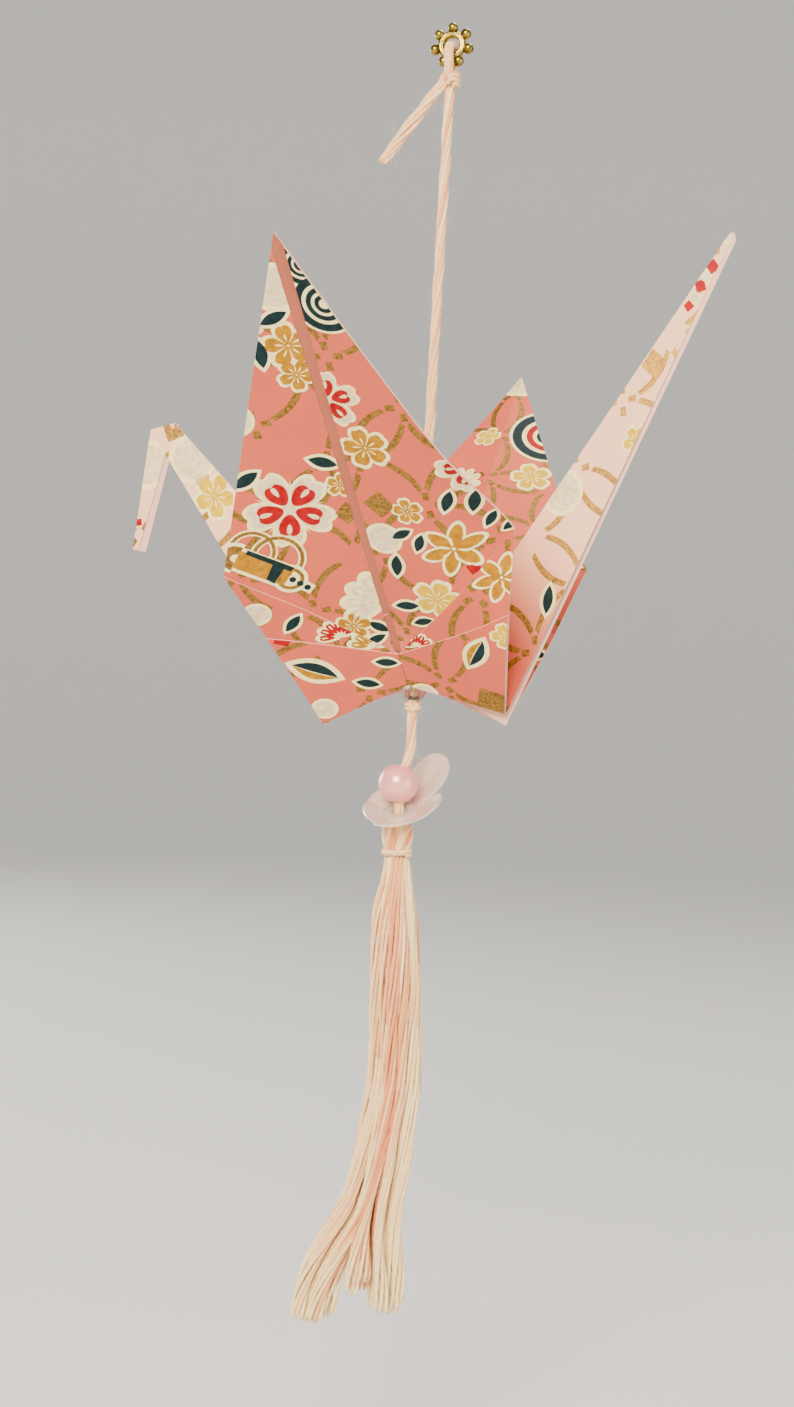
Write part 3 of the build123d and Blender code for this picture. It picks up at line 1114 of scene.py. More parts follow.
def filled(outline: Array) -> Array:
    """A closed outline as triangles from its middle."""
    return np.stack([np.broadcast_to(outline.mean(0), outline.shape), outline, np.roll(outline, -1, 0)], 1)


def band(inner: Array, outer: Array) -> Array:
    """The strip between two lines of as many points, as triangles."""
    a, b, c, d = inner[:-1], inner[1:], outer[1:], outer[:-1]
    return np.concatenate([np.stack([a, b, c], 1), np.stack([a, c, d], 1)])


def finer(shape: Array, reach: float) -> Array:
    """Halve triangles across their longest side until no side is longer than a reach.

    Args:
        shape: the triangles, as an array of corner triples.
        reach: the longest side that may stay.

    Returns:
        Triangles that cover the same area and follow a curved sheet closely.
    """
    done = []
    while len(shape):
        sides = np.linalg.norm(np.roll(shape, -1, 1) - shape, axis=-1)
        long = sides.max(1) > reach
        done.append(shape[~long])
        shape = shape[long]
        order = (sides[long].argmax(1)[:, None] + np.arange(3)) % 3
        a, b, c = (shape[np.arange(len(shape)), order[:, k]] for k in range(3))
        middle = (a + b) / 2
        shape = np.concatenate([np.stack([a, middle, c], 1), np.stack([middle, b, c], 1)])
    return np.concatenate(done)


def spun(shape: Array, degrees: Any) -> Array:
    """Triangles turned about zero by one or more angles."""
    a = np.radians(np.atleast_1d(degrees))
    turn = np.stack([np.stack([np.cos(a), np.sin(a)], -1), np.stack([-np.sin(a), np.cos(a)], -1)], 1)
    return np.einsum("tij,ajk->atik", shape, turn).reshape(-1, 3, 2)


def petal(start: float, length: float, width: float, notch: float = 0.0, sharp: float = 0.0) -> Array:
    """A petal along the first axis: half a cosine out and back, wider past its middle.

    Args:
        start: where it starts.
        length: how long it is.
        width: how wide it is.
        notch: the depth of the notch in its end, as a share of its length.
        sharp: how far its end narrows to a point, from 0 to 1.

    Returns:
        Its triangles.
    """
    t = np.linspace(0, TURN, 28, endpoint=False)
    s = (1 - np.cos(t)) / 2
    y = width / 2 * np.sin(t) * (0.62 + 0.55 * s) * (1 - sharp * s**2)
    x = start + length * (s - notch * np.exp(-((y / (0.16 * width)) ** 2)) * s**8)
    return filled(np.stack([x, y], -1))


def lens(start: float, length: float, width: float, bow: float = 0.0) -> Array:
    """A pointed leaf along the first axis: two arcs that meet at both ends, both bowed to one side."""
    s = np.linspace(0, 1, 14)
    arc = 4 * s * (1 - s)
    x = start + length * s
    return band(np.stack([x, (bow - width / 2) * arc], -1), np.stack([x, (bow + width / 2) * arc], -1))


def hoop(
    inner: float,
    outer: float,
    start: float = 0.0,
    sweep: float = 360.0,
    at: tuple[float, float] = (0, 0),
) -> Array:
    """A ring or disc, or a part of one, round a point.

    Args:
        inner: the inner radius.
        outer: the outer radius.
        start: the direction in degrees at which it starts.
        sweep: how many degrees it goes on for.
        at: the point.

    Returns:
        Its triangles.
    """
    a = np.radians(start + np.linspace(0, sweep, max(8, round(sweep / 9))))
    way = np.stack([np.cos(a), np.sin(a)], -1)
    return band(way * inner + np.array(at), way * outer + np.array(at))


def five(first: float = 0.0) -> Array:
    """The directions of five petals."""
    return first + np.arange(5) * 72.0


def draw(motif: Motif, ink: Ink) -> Shapes:
    """The triangles of a figure about zero, with a reach of about one.

    Args:
        motif: the figure.
        ink: the colour of its body.

    Returns:
        Each shape's ink, its level and its triangles.
    """
    if motif is Motif.SAKURA:
        return [
            (Ink.CREAM, 2, spun(petal(0.02, 0.98, 0.74, 0.12), five())),
            (Ink.PEARL, 3, spun(petal(0.10, 0.80, 0.60, 0.12), five())),
            (Ink.RED, 4, spun(petal(0.13, 0.56, 0.47, 0.1), five())),
            (Ink.PEARL, 5, spun(petal(0.37, 0.25, 0.12), five())),
            (Ink.CREAM, 5, spun(lens(0.0, 0.72, 0.045), five(36))),
            (Ink.PEARL, 6, hoop(0.0, 0.13)),
        ]
    if motif is Motif.PLUM:
        return [
            (Ink.CREAM, 2, spun(petal(0.0, 1.0, 0.84, 0.06), five())),
            (ink, 3, spun(petal(0.04, 0.80, 0.60, 0.08), five())),
            (Ink.CREAM, 4, spun(petal(0.16, 0.30, 0.07), five())),
            (Ink.CREAM, 4, spun(lens(0.1, 0.62, 0.05), five(36))),
        ]
    if motif is Motif.LILY:
        six = np.arange(6) * 60.0
        return [
            (Ink.CREAM, 2, spun(petal(0.0, 1.06, 0.68, 0.0, 0.4), six)),
            (ink, 3, spun(petal(0.05, 0.88, 0.52, 0.0, 0.5), six)),
            (Ink.CREAM, 4, spun(petal(0.10, 0.36, 0.10), six[:5] + 24)),
        ]
    if motif is Motif.LEAF:
        leaf = [(Ink.CREAM, 2, lens(-1.0, 2.0, 1.0)), (Ink.GREEN, 3, lens(-0.74, 1.5, 0.62))]
        if ink is Ink.GREEN:
            return leaf
        half = [(ink, 4, lens(-0.7, 1.4, 0.26, -0.20)), (Ink.CREAM, 5, lens(-0.72, 1.45, 0.04, -0.06))]
        return leaf + half
    if motif is Motif.DAISY:
        rays = np.arange(12) * 30.0
        return [
            (Ink.CREAM, 2, spun(petal(0.05, 0.95, 0.44), rays)),
            (Ink.PEARL, 3, spun(petal(0.14, 0.78, 0.27), rays)),
            (ink, 4, hoop(0.0, 0.17)),
        ]
    if motif is Motif.SQUARE:
        return [(ink, 2, filled(np.array([[1.0, 0.06], [0.05, 0.94], [-0.97, 0.0], [0.0, -1.0]])))]
    if motif is Motif.ROLL:
        body = np.array([[-0.92, -0.30], [0.62, -0.34], [0.66, 0.36], [-0.92, 0.36]])
        dots = [hoop(0.0, 0.085, at=(0.70 + 0.22 * k, -0.03 * k)) for k in range(3)]
        tail = np.array([[0.6, -0.17], [1.28, -0.22], [1.3, 0.08], [0.6, 0.19]])
        return [
            (Ink.CREAM, 6, filled(body * 1.1)),
            (Ink.CREAM, 6, filled(tail)),
            (Ink.CREAM, 6, hoop(0.0, 0.44, at=(0.64, 0.0))),
            (Ink.CREAM, 6, hoop(0.0, 0.46, 80, 200, (-0.88, 0.03))),
            (Ink.OCHRE, 7, filled(body * np.array([0.92, 0.8]))),
            (Ink.GOLD, 7, hoop(0.24, 0.34, at=(0.64, 0.0))),
            (Ink.GOLD, 8, hoop(0.12, 0.36, 80, 200, (-0.88, 0.03))),
            (Ink.GREEN, 8, filled(np.array([[-0.70, 0.24], [0.54, 0.20], [0.58, 0.35], [-0.70, 0.37]]))),
            (Ink.GREEN, 8, filled(np.array([[0.10, -0.25], [0.34, -0.30], [0.36, 0.26], [0.04, 0.26]]))),
            (Ink.GREEN, 9, np.concatenate(dots)),
        ]
    if motif is Motif.WAVE:
        return [
            (Ink.CREAM, 2, hoop(0.0, 1.0)),
            (Ink.GREEN, 3, hoop(0.68, 0.92)),
            (ink, 3, hoop(0.40, 0.56)),
            (Ink.GREEN, 3, hoop(0.16, 0.30)),
        ]
    if motif is Motif.DISC:
        return [(Ink.CREAM, 2, hoop(0.0, 1.0)), (Ink.PEARL, 3, hoop(0.0, 0.78))]
    if motif is Motif.FAN:
        rays = np.linspace(-70, 70, 6)
        return [
            (Ink.CREAM, 2, spun(petal(0.0, 1.0, 0.52), rays)),
            (ink, 3, spun(petal(0.24, 0.62, 0.30, 0.1), rays)),
            (Ink.CREAM, 4, spun(petal(0.5, 0.26, 0.08), rays)),
        ]
    return [(Ink.CREAM, 4, hoop(0.78, 1.08)), (Ink.GOLD, 5, hoop(0.85, 1.0))]


@dataclass(frozen=True)
class Stamp:
    """One figure on the sheet: its place and its reach in millimetres, its turn in degrees and its colour."""

    motif: Motif
    p: float
    q: float
    reach: float
    turn: float = 0.0
    ink: Ink = Ink.GREEN

    def shapes(self) -> Shapes:
        """The figure's triangles, in place on the sheet."""
        at = np.array([self.p, self.q])
        drawn = draw(self.motif, self.ink)
        return [(ink, level, spun(shape, self.turn) * self.reach + at) for ink, level, shape in drawn]


# The set figures, by the part of the crane that they lie on.
NEAR_WING = (
    Stamp(Motif.SAKURA, -17.7, -56.1, 5.3, 120),
    Stamp(Motif.LEAF, -17.5, -63.2, 2.1, 19),
    Stamp(Motif.LEAF, -11.9, -56.9, 2.2, 250),
    Stamp(Motif.PLUM, -20.5, -61.7, 1.7, 10, Ink.OCHRE),
    Stamp(Motif.SQUARE, -23.1, -59.0, 1.5, 40, Ink.GOLD),
    Stamp(Motif.FAN, -33.2, -50.6, 5.2, -12, Ink.PEARL),
    Stamp(Motif.HOOP, -16.9, -49.4, 2.6),
    Stamp(Motif.HOOP, -19.8, -49.9, 2.9),
    Stamp(Motif.ROLL, -19.6, -48.0, 4.4, 184),
    Stamp(Motif.PLUM, -7.4, -73.5, 2.9, 30, Ink.OCHRE),
    Stamp(Motif.PLUM, -9.8, -71.0, 2.2, 60, Ink.OCHRE),
    Stamp(Motif.PLUM, -2.6, -73.2, 2.0, 60, Ink.YELLOW),
    Stamp(Motif.LEAF, -4.6, -75.4, 2.0, 60),
    Stamp(Motif.LEAF, -5.6, -71.2, 2.2, 130),
    Stamp(Motif.DISC, 0.0, -83.4, 1.2),
    Stamp(Motif.DISC, -3.0, -78.4, 2.7),
    Stamp(Motif.DISC, -7.4, -62.8, 2.0),
    Stamp(Motif.PLUM, -31.9, -45.9, 2.3, 15, Ink.OCHRE),
    Stamp(Motif.LEAF, -34.3, -47.3, 1.8, 183),
    Stamp(Motif.LEAF, -35.0, -45.5, 1.8, 245),
    Stamp(Motif.SAKURA, 13.2, -69.5, 3.7, 75),
    Stamp(Motif.WAVE, 3.4, -75.6, 3.4, 0, Ink.GREEN),
    Stamp(Motif.WAVE, 1.2, -79.6, 2.4, 0, Ink.GREEN),
    Stamp(Motif.PLUM, 15.7, -63.4, 2.9, 20, Ink.OCHRE),
    Stamp(Motif.SQUARE, 21.1, -58.3, 1.8, 35, Ink.GOLD),
    Stamp(Motif.PLUM, 19.7, -55.6, 1.9, 160, Ink.OCHRE),
    Stamp(Motif.DISC, 24.8, -55.5, 2.1),
    Stamp(Motif.LEAF, 22.9, -54.4, 1.7, 160),
    Stamp(Motif.LEAF, 16.0, -53.1, 1.9, 202),
    Stamp(Motif.LEAF, 14.6, -50.8, 2.1, 207),
    Stamp(Motif.LEAF, 15.9, -48.0, 1.6, 189),
    Stamp(Motif.LEAF, 15.6, -45.9, 1.4, 170),
    Stamp(Motif.LEAF, 22.5, -52.3, 1.7, 200),
    Stamp(Motif.LEAF, 27.0, -52.4, 2.0, 34),
    Stamp(Motif.LILY, 20.9, -49.0, 3.5, 208, Ink.OCHRE),
    Stamp(Motif.PLUM, 27.8, -46.5, 3.0, 200, Ink.YELLOW),
    Stamp(Motif.LEAF, 31.2, -48.4, 1.9, 137),
    Stamp(Motif.LEAF, 31.9, -45.8, 1.6, 150),
    Stamp(Motif.SAKURA, 10.9, -53.9, 3.6, 20),
    Stamp(Motif.FAN, 36.0, -43.0, 2.4, 180, Ink.RED),
    Stamp(Motif.SQUARE, 21.9, -45.8, 0.9, 20, Ink.RED),
)
FLAPS = (
    Stamp(Motif.FAN, -20.6, -30.2, 2.9, 260, Ink.RED),
    Stamp(Motif.LEAF, -17.5, -35.0, 1.9, 200),
    Stamp(Motif.FAN, -22.8, -26.8, 3.2, 245, Ink.OCHRE),
    Stamp(Motif.LEAF, -24.6, -22.6, 1.8, 230),
    Stamp(Motif.DISC, -15.2, -38.6, 1.7),
    Stamp(Motif.SQUARE, -15.0, -15.3, 1.3, 80, Ink.RED),
    Stamp(Motif.LEAF, -21.0, -15.2, 3.7, 214, Ink.OCHRE),
    Stamp(Motif.LEAF, -26.0, -19.0, 1.9, 225),
    Stamp(Motif.DISC, -26.4, -12.6, 1.6),
    Stamp(Motif.LILY, 15.7, -39.2, 3.0, 30, Ink.OCHRE),
    Stamp(Motif.LEAF, 20.3, -16.0, 2.9, 351, Ink.OCHRE),
    Stamp(Motif.PLUM, 16.6, -13.4, 1.9, 0, Ink.YELLOW),
    Stamp(Motif.FAN, 22.6, -26.6, 2.3, 300, Ink.RED),
    Stamp(Motif.SQUARE, 26.9, -12.8, 2.3, 50, Ink.GOLD),
)
FAR_WING = (
    Stamp(Motif.DISC, 0.2, 82.5, 3.2),
    Stamp(Motif.PLUM, -2.1, 70.8, 2.0, 0, Ink.YELLOW),
    Stamp(Motif.WAVE, 6.0, 71.8, 5.2, 0, Ink.RED),
    Stamp(Motif.PLUM, 5.4, 63.2, 2.9, 40, Ink.YELLOW),
    Stamp(Motif.DAISY, -4.4, 61.0, 3.6, 0, Ink.YELLOW),
)
LIMBS = (
    Stamp(Motif.DAISY, -43.0, -4.6, 6.2, 0, Ink.YELLOW),
    Stamp(Motif.PLUM, -56.8, -2.4, 3.2, 35, Ink.YELLOW),
    Stamp(Motif.DISC, -49.6, -1.2, 4.0),
    Stamp(Motif.DISC, -62.0, -1.4, 3.2),
    Stamp(Motif.SQUARE, -66.2, -0.8, 1.6, 20, Ink.GOLD),
    Stamp(Motif.SQUARE, -79.4, -0.7, 0.6, 45, Ink.RED),
    Stamp(Motif.SQUARE, -78.8, 0.9, 0.7, 60, Ink.RED),
    Stamp(Motif.DISC, -72.6, -2.6, 3.0),
    Stamp(Motif.DISC, -72.6, 2.6, 3.0),
    Stamp(Motif.SQUARE, 67.5, -1.4, 1.7, 45, Ink.GOLD),
    Stamp(Motif.DISC, 83.9, 0.0, 1.9),
    Stamp(Motif.SQUARE, 79.4, -0.6, 0.9, 30, Ink.RED),
    Stamp(Motif.DISC, 78.2, -0.6, 0.7),
    Stamp(Motif.SQUARE, 77.0, -0.7, 0.9, 10, Ink.RED),
    Stamp(Motif.DISC, 75.7, -0.9, 0.7),
    Stamp(Motif.SQUARE, 74.6, -0.9, 0.7, 30, Ink.RED),
    Stamp(Motif.SQUARE, 79.5, 0.9, 0.9, 20, Ink.RED),
    Stamp(Motif.PLUM, 60.0, -5.0, 1.9, 0, Ink.YELLOW),
    Stamp(Motif.DISC, 50.5, -1.0, 2.6),
)
# The kinds of the other figures, with their inks and their reaches in millimetres.
KINDS = (
    Motif.SAKURA,
    Motif.PLUM,
    Motif.LILY,
    Motif.LEAF,
    Motif.LEAF,
    Motif.DAISY,
    Motif.SQUARE,
    Motif.DISC,
    Motif.LEAF,
)
KIND_INKS = {Motif.LEAF: Ink.GREEN, Motif.SQUARE: Ink.GOLD}
OTHER_INKS = (Ink.OCHRE, Ink.YELLOW, Ink.OCHRE)
KIND_SIZES = {Motif.SAKURA: 4.4, Motif.LEAF: 2.1, Motif.SQUARE: 2.0, Motif.DISC: 1.8, Motif.DAISY: 4.2}
OTHER_SIZE = 2.7


@dataclass(frozen=True)
class Print:
    """The sheet's print: gold lines of linked circles, set figures, and more of the same elsewhere.

    Lengths are in millimetres. Each level of ink lies a step above the one before, so that none cuts
    through another, and no triangle is longer than a facet, so that it follows the curved paper.
    """

    pitch: float = 8.95
    phase: tuple[float, float] = (-0.35, -0.7)
    line: float = 0.66
    seed: int = 4
    base: float = 0.006
    level: float = 0.012
    facet: float = 1.2
    kept_share: float = 0.76
    tries: int = 900
    clearance: float = 2.2
    arc_stop: float = 0.19

    def circles(self, reach: float) -> Shapes:
        """Gold arcs of linked circles, with short bars where they meet.

        Two arcs join each node of a square lattice to the next, a quarter of a circle each, and stop short
        of it by a share of the pitch. A seeded share of them is kept.

        Args:
            reach: how far out the sheet goes.

        Returns:
            The arcs and bars over the sheet.
        """
        stop = self.arc_stop
        s = np.linspace(stop, 1 - stop, 12)
        bow = np.sqrt(0.5 - (s - 0.5) ** 2) - 0.5
        wide = self.line / 2 / self.pitch * (0.8 + 0.3 * np.sin(s * math.pi))
        arcs = [band(np.stack([s, f * bow - wide], -1), np.stack([s, f * bow + wide], -1)) for f in (-1, 1)]
        bar = np.array([[0.08, -0.035], [stop, -0.045], [stop, 0.045], [0.08, 0.035]])
        parts = arcs + [spun(arc, 90) for arc in arcs] + [spun(filled(bar), [45, 135, 225, 315])]
        n = math.ceil(reach / self.pitch) + 1
        i, j = np.meshgrid(np.arange(-n, n + 1), np.arange(-n, n + 1), indexing="ij")
        nodes = np.stack([i, j], -1).reshape(-1, 2) * self.pitch + np.array(self.phase)
        nodes = nodes[np.abs(nodes).sum(1) < reach + self.pitch]
        rng = np.random.default_rng(self.seed)
        kept = [nodes[rng.uniform(size=len(nodes)) < self.kept_share] for _ in parts]
        lines = [part[None] * self.pitch + at[:, None, None] for part, at in zip(parts, kept)]
        return [(Ink.GOLD, 1, np.concatenate([line.reshape(-1, 3, 2) for line in lines]))]

    def scattered(self, taken: Sequence[Stamp], reach: float) -> list[Stamp]:
        """Figures for the rest of the sheet, tried in a seeded order and kept where they touch no other."""
        rng = np.random.default_rng(self.seed)
        found = list(taken)
        for _ in range(self.tries):
            p, q = rng.uniform(-reach, reach, 2)
            kind = KINDS[rng.integers(len(KINDS))]
            size = KIND_SIZES.get(kind, OTHER_SIZE)
            ink = KIND_INKS.get(kind, OTHER_INKS[rng.integers(len(OTHER_INKS))])
            clear = all(math.hypot(p - s.p, q - s.q) > size + s.reach + self.clearance for s in found)
            if clear and abs(p) + abs(q) < reach:
                found.append(Stamp(kind, p, q, size, rng.uniform(0, 360), ink))
        return found[len(taken) :]

    def shapes(self, reach: float) -> Shapes:
        """Every shape of the print."""
        stamps = list(NEAR_WING + FLAPS + FAR_WING + LIMBS)
        stamps += self.scattered(stamps, reach)
        return self.circles(reach) + [shape for stamp in stamps for shape in stamp.shapes()]

    def laid(self, panel: Panel, cut: Array, lift: float, way: float, level: int) -> Array:
        """Carry triangles onto a panel's face at their level, each turned to face outwards.

        Args:
            panel: the panel.
            cut: the triangles, cut to its outline.
            lift: how far the face lies off the panel's points.
            way: which way is outwards, 1 for its front and -1 for its back.
            level: the ink's level.

        Returns:
            The triangles in the part's frame.
        """
        height = lift + way * (self.base + level * self.level)
        points = panel.surface(cut, np.full(cut.shape[:2], height))
        inside, outside = (panel.surface(cut[:1, 0], np.array([at])) for at in (lift, lift + way))
        normal = np.cross(points[:, 1] - points[:, 0], points[:, 2] - points[:, 0])
        outward = normal @ (outside - inside)[0] > 0
        return np.where(outward[:, None, None], points, points[:, ::-1])

    def build(self, crane: Crane) -> list[bpy.types.Object]:
        """Lay each ink on the folded sheet: its shapes are cut to each panel and carried onto its face.

        Args:
            crane: the folded sheet.

        Returns:
            One object for each ink.
        """
        reach = crane.sheet_side * math.sqrt(0.5)
        by_ink: dict[Ink, list[tuple[int, Array]]] = {}
        for ink, level, shape in self.shapes(reach):
            by_ink.setdefault(ink, []).append((level, finer(shape, self.facet) / crane.unit_mm))
        faces = []
        for panel in crane.panels():
            faces += [(panel, panel.front, panel.high, 1.0)] if panel.front else []
            faces += [(panel, panel.back, panel.low, -1.0)] if panel.back else []
        made = []
        for ink, parts in by_ink.items():
            shape = np.concatenate([p for _, p in parts])
            levels = np.concatenate([np.full(len(p), level) for level, p in parts])
            surface = Surface()
            for panel, shown, lift, way in faces:
                flat = crane.creases.from_sheet(shown.ply, shown.side, shown.end, shape)
                low, high = shown.outline.min(0), shown.outline.max(0)
                near = ((flat.max(1) > low) & (flat.min(1) < high)).all(1)
                for level in np.unique(levels[near]):
                    cut = clipped(flat[near & (levels == level)], shown.outline)
                    if len(cut):
                        points = self.laid(panel, cut, lift, way, level)
                        surface.add(points, [np.arange(len(points) * 3).reshape(-1, 3)])
            obj = surface.build("print_" + ink.name.lower(), [INKS[ink]], round_off=False)
            made.append(obj)
            LOG.info("%s: %d triangles", obj.name, len(obj.data.polygons))
        return made


INKS = {
    Ink.GOLD: Printing(
        "gold_ink", (0.37, 0.20, 0.036), (0.17, 0.085, 0.015), roughness=0.42, metallic=0.6, grain=3200
    ),
    Ink.CREAM: Printing("cream_ink", (1.0, 0.88, 0.43), (0.94, 0.79, 0.35)),
    Ink.PEARL: Printing("pearl_ink", (0.82, 0.68, 0.43), (0.70, 0.53, 0.31)),
    Ink.RED: Printing("red_ink", (0.42, 0.0, 0.005), (0.30, 0.0, 0.003)),
    Ink.YELLOW: Printing("yellow_ink", (0.72, 0.48, 0.0), (0.63, 0.37, 0.0)),
    Ink.OCHRE: Printing("ochre_ink", (0.47, 0.22, 0.0), (0.35, 0.145, 0.0)),
    Ink.GREEN: Printing("green_ink", (0.006, 0.026, 0.028), (0.003, 0.014, 0.017)),
}


@dataclass(frozen=True)
class Bundle:
    """Strands that lie round a line with a slow twist, as in divided floss. Lengths are in millimetres."""

    strands: int = 6
    thread: float = 0.25
    spread: float = 0.35
    pitch: float = 15.0
    sides: int = 6
    pale: tuple[float, float] = (0.3, 1.0)
    ply_twist: float = 1.3
    end_share: float = 0.55
    wander: float = 0.12
    wander_run: float = 4.1
    drift: float = 0.22
    drift_run: float = 9.0

    def lay(self, surface: Surface, line: Array, swell: Any, seed: int, tone: Any = 0.0) -> None:
        """Add the strands along a line.

        Each strand runs round the line at a distance that swells and shrinks, turning once in a pitch. Its
        shade is its own, and drifts slowly along it.

        Args:
            surface: what they are added to.
            line: the line's points, in metres.
            swell: the share of the usual spread, along the line.
            seed: the seed of the strands' differences.
            tone: added to the shade, along the line.
        """
        rng = np.random.default_rng(seed)
        across = np.array([1.0, 0.12, 0.0])
        first, second = square_axes(line, across)
        run = run_along(line)
        start = (np.arange(self.strands) + rng.uniform(-0.2, 0.2, self.strands)) * TURN / self.strands
        angle = start[:, None] + run / (self.pitch * MM) * TURN
        wander = 1 + self.wander * np.sin(run / (self.wander_run * MM) + start[:, None] * 3)
        far = self.spread * MM * np.broadcast_to(swell, run.shape) * wander
        paths = line + (far * np.cos(angle))[..., None] * first + (far * np.sin(angle))[..., None] * second
        radius = np.full(run.shape, self.thread * MM)
        radius[[0, -1]] *= self.end_share
        points, faces = tubes(paths, radius, self.sides, across)
        own = rng.uniform(*self.pale, self.strands)[:, None]
        own = own + self.drift * np.sin(run / (self.drift_run * MM) + start[:, None] * 2)
        shade = np.clip(own + tone, 0.0, 1.0)[..., None]
        turn = np.arange(self.sides) * TURN / self.sides
        twist = (run / (self.ply_twist * MM) * TURN)[None, :, None] + 2 * turn + start[:, None, None]
        shape = (self.strands, len(run), self.sides)
        values = {"shade": np.broadcast_to(shade, shape), "twist": np.broadcast_to(twist, shape)}
        surface.add(points, faces, **values)


def evenly(points: Array, step: float) -> Array:
    """Points at even distances along a line."""
    run = run_along(points)
    at = np.linspace(0, run[-1], max(3, round(run[-1] / step)))
    return np.stack([np.interp(at, run, points[:, k]) for k in range(3)], -1)


def winding(centre: Array, radius: float, rise: float, turns: float, steps: int = 60) -> Array:
    """A helix round the upright, with its middle at a point, in millimetres."""
    t = np.linspace(-0.5, 0.5, steps)
    a = t * turns * TURN
    helix = np.stack([radius * np.cos(a), radius * np.sin(a), t * rise + 0.12 * np.sin(a)], -1)
    return centre + helix * MM


def fuzz(surface: Surface, line: Array, count: int, seed: int) -> None:
    """Add fine hairs that stand off a line of floss.

    A hair leaves the line sideways, as far out as the root of its length, and bends along the line with
    its square.

    Args:
        surface: what they are added to.
        line: the line's points, in metres.
        count: how many hairs.
        seed: the seed of their places.
    """
    rng = np.random.default_rng(seed)
    at = rng.integers(2, len(line) - 2, count)
    ahead = unit(line[at + 1] - line[at - 1])
    side = unit(np.cross(ahead, rng.normal(size=(count, 3))))
    t = np.linspace(0, 1, 7)[None, :, None]
    reach, sweep = rng.uniform(0.5, 1.5, (count, 1, 1)), rng.uniform(-1.6, 1.6, (count, 1, 1))
    way = side[:, None] * (0.2 + reach * np.sqrt(t)) + ahead[:, None] * sweep * t**2
    hairs = line[at][:, None] + MM * way
    across = np.array([0.6, 0.3, 0.74])
    points, faces = tubes(hairs, np.full(hairs.shape[:2], HAIR * MM), 3, across)
    surface.add(points, faces, shade=np.full(len(points), 0.9), twist=np.zeros(len(points)))


@dataclass(frozen=True)
class HangingCord:
    """The floss that carries everything, in one length from its loose end through the ring to the tassel.

    Lengths are in millimetres. The loose end is given as how far to the left and below the knot it is.
    """

    knot_z: float = -3.9
    loose_end: tuple[float, float] = (7.3, 10.2)
    diameter: float = 1.2
    stop_knot_z: float = -77.0
    step: float = 0.4
    seed: int = 3
    knot_seeds: tuple[int, int] = (5, 6)
    hairs: int = 90
    hair_seed: int = 9

    def route(self) -> Array:
        """The route's points: up the loose end, round through the ring, and down through the beads."""
        out, down = self.loose_end
        knot = self.knot_z
        loose = [aside(-out, knot - down), aside(-out * 0.46, knot - down * 0.4)]
        rising = [[0, -0.45, knot + 0.2], [0, -1.3, -1.75], [0, -1.3, -0.2]]
        falling = [[0, 1.3, -0.2], [0, 1.3, -1.75], [0, 0.45, knot + 0.2]]
        down_to_pearl = [aside(0, knot - 1.4), aside(0, -79.0), aside(*ABOVE_PEARL)]
        to_tassel = [aside(*IN_PEARL), aside(*BELOW_PEARL), aside(-0.9, -91.9)]
        loop = np.array(rising + falling) * MM
        return np.concatenate([np.array(loose), loop, np.array(down_to_pearl + to_tassel)])

    def line(self) -> Array:
        """The centreline, read from one NURBS curve on the route's points."""
        points = self.route()
        data = bpy.data.curves.new("cord_route", "CURVE")
        data.dimensions = "3D"
        data.resolution_u = 24
        spline = data.splines.new("NURBS")
        spline.points.add(len(points) - 1)
        spline.points.foreach_set("co", np.c_[points, np.ones(len(points))].astype(np.float32).ravel())
        spline.order_u = 3
        spline.use_endpoint_u = True
        obj = bpy.data.objects.new("cord_route", data)
        bpy.context.scene.collection.objects.link(obj)
        mesh = bpy.data.meshes.new_from_object(obj)
        found = np.zeros(len(mesh.vertices) * 3, np.float32)
        mesh.vertices.foreach_get("co", found)
        bpy.data.objects.remove(obj)
        bpy.data.curves.remove(data)
        bpy.data.meshes.remove(mesh)
        return evenly(found.reshape(-1, 3).astype(float), self.step * MM)

    def build(self, floss: Finish) -> list[bpy.types.Object]:
        """Lay the strands along the line, and wind the two knots."""
        line = self.line()
        run = np.arange(len(line)) * self.step
        loose = math.hypot(*self.loose_end)
        fuller = 0.32 * np.exp(-(((run - loose * 0.35) / 4.2) ** 2))
        tighter = 0.12 * np.exp(-(((run - loose) / 2.2) ** 2))
        swell = 1 + fuller - tighter
        cord = Surface()
        Bundle().lay(cord, line, swell, self.seed)
        obj = cord.build("floss_cord", [floss])
        knots = Surface()
        wrap = Bundle(strands=3, thread=0.25, spread=0.24, pitch=5.0)
        upper = winding(aside(0, self.knot_z - 0.15), radius=0.80, rise=1.15, turns=2.3)
        lower = winding(aside(0, self.stop_knot_z + 0.25), radius=0.55, rise=0.75, turns=1.5)
        for turns, seed in zip((upper, lower), self.knot_seeds):
            wrap.lay(knots, turns, 1.0, seed)
        knot = knots.build("floss_knots", [floss])
        hairs = Surface()
        fuzz(hairs, line, self.hairs, self.hair_seed)
        loose_hairs = hairs.build("floss_fuzz", [floss])
        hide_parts("hanging_cord")
        path, others = line.tolist(), [knot, loose_hairs]
        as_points(path)
        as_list(others)
        return [obj, knot, loose_hairs]


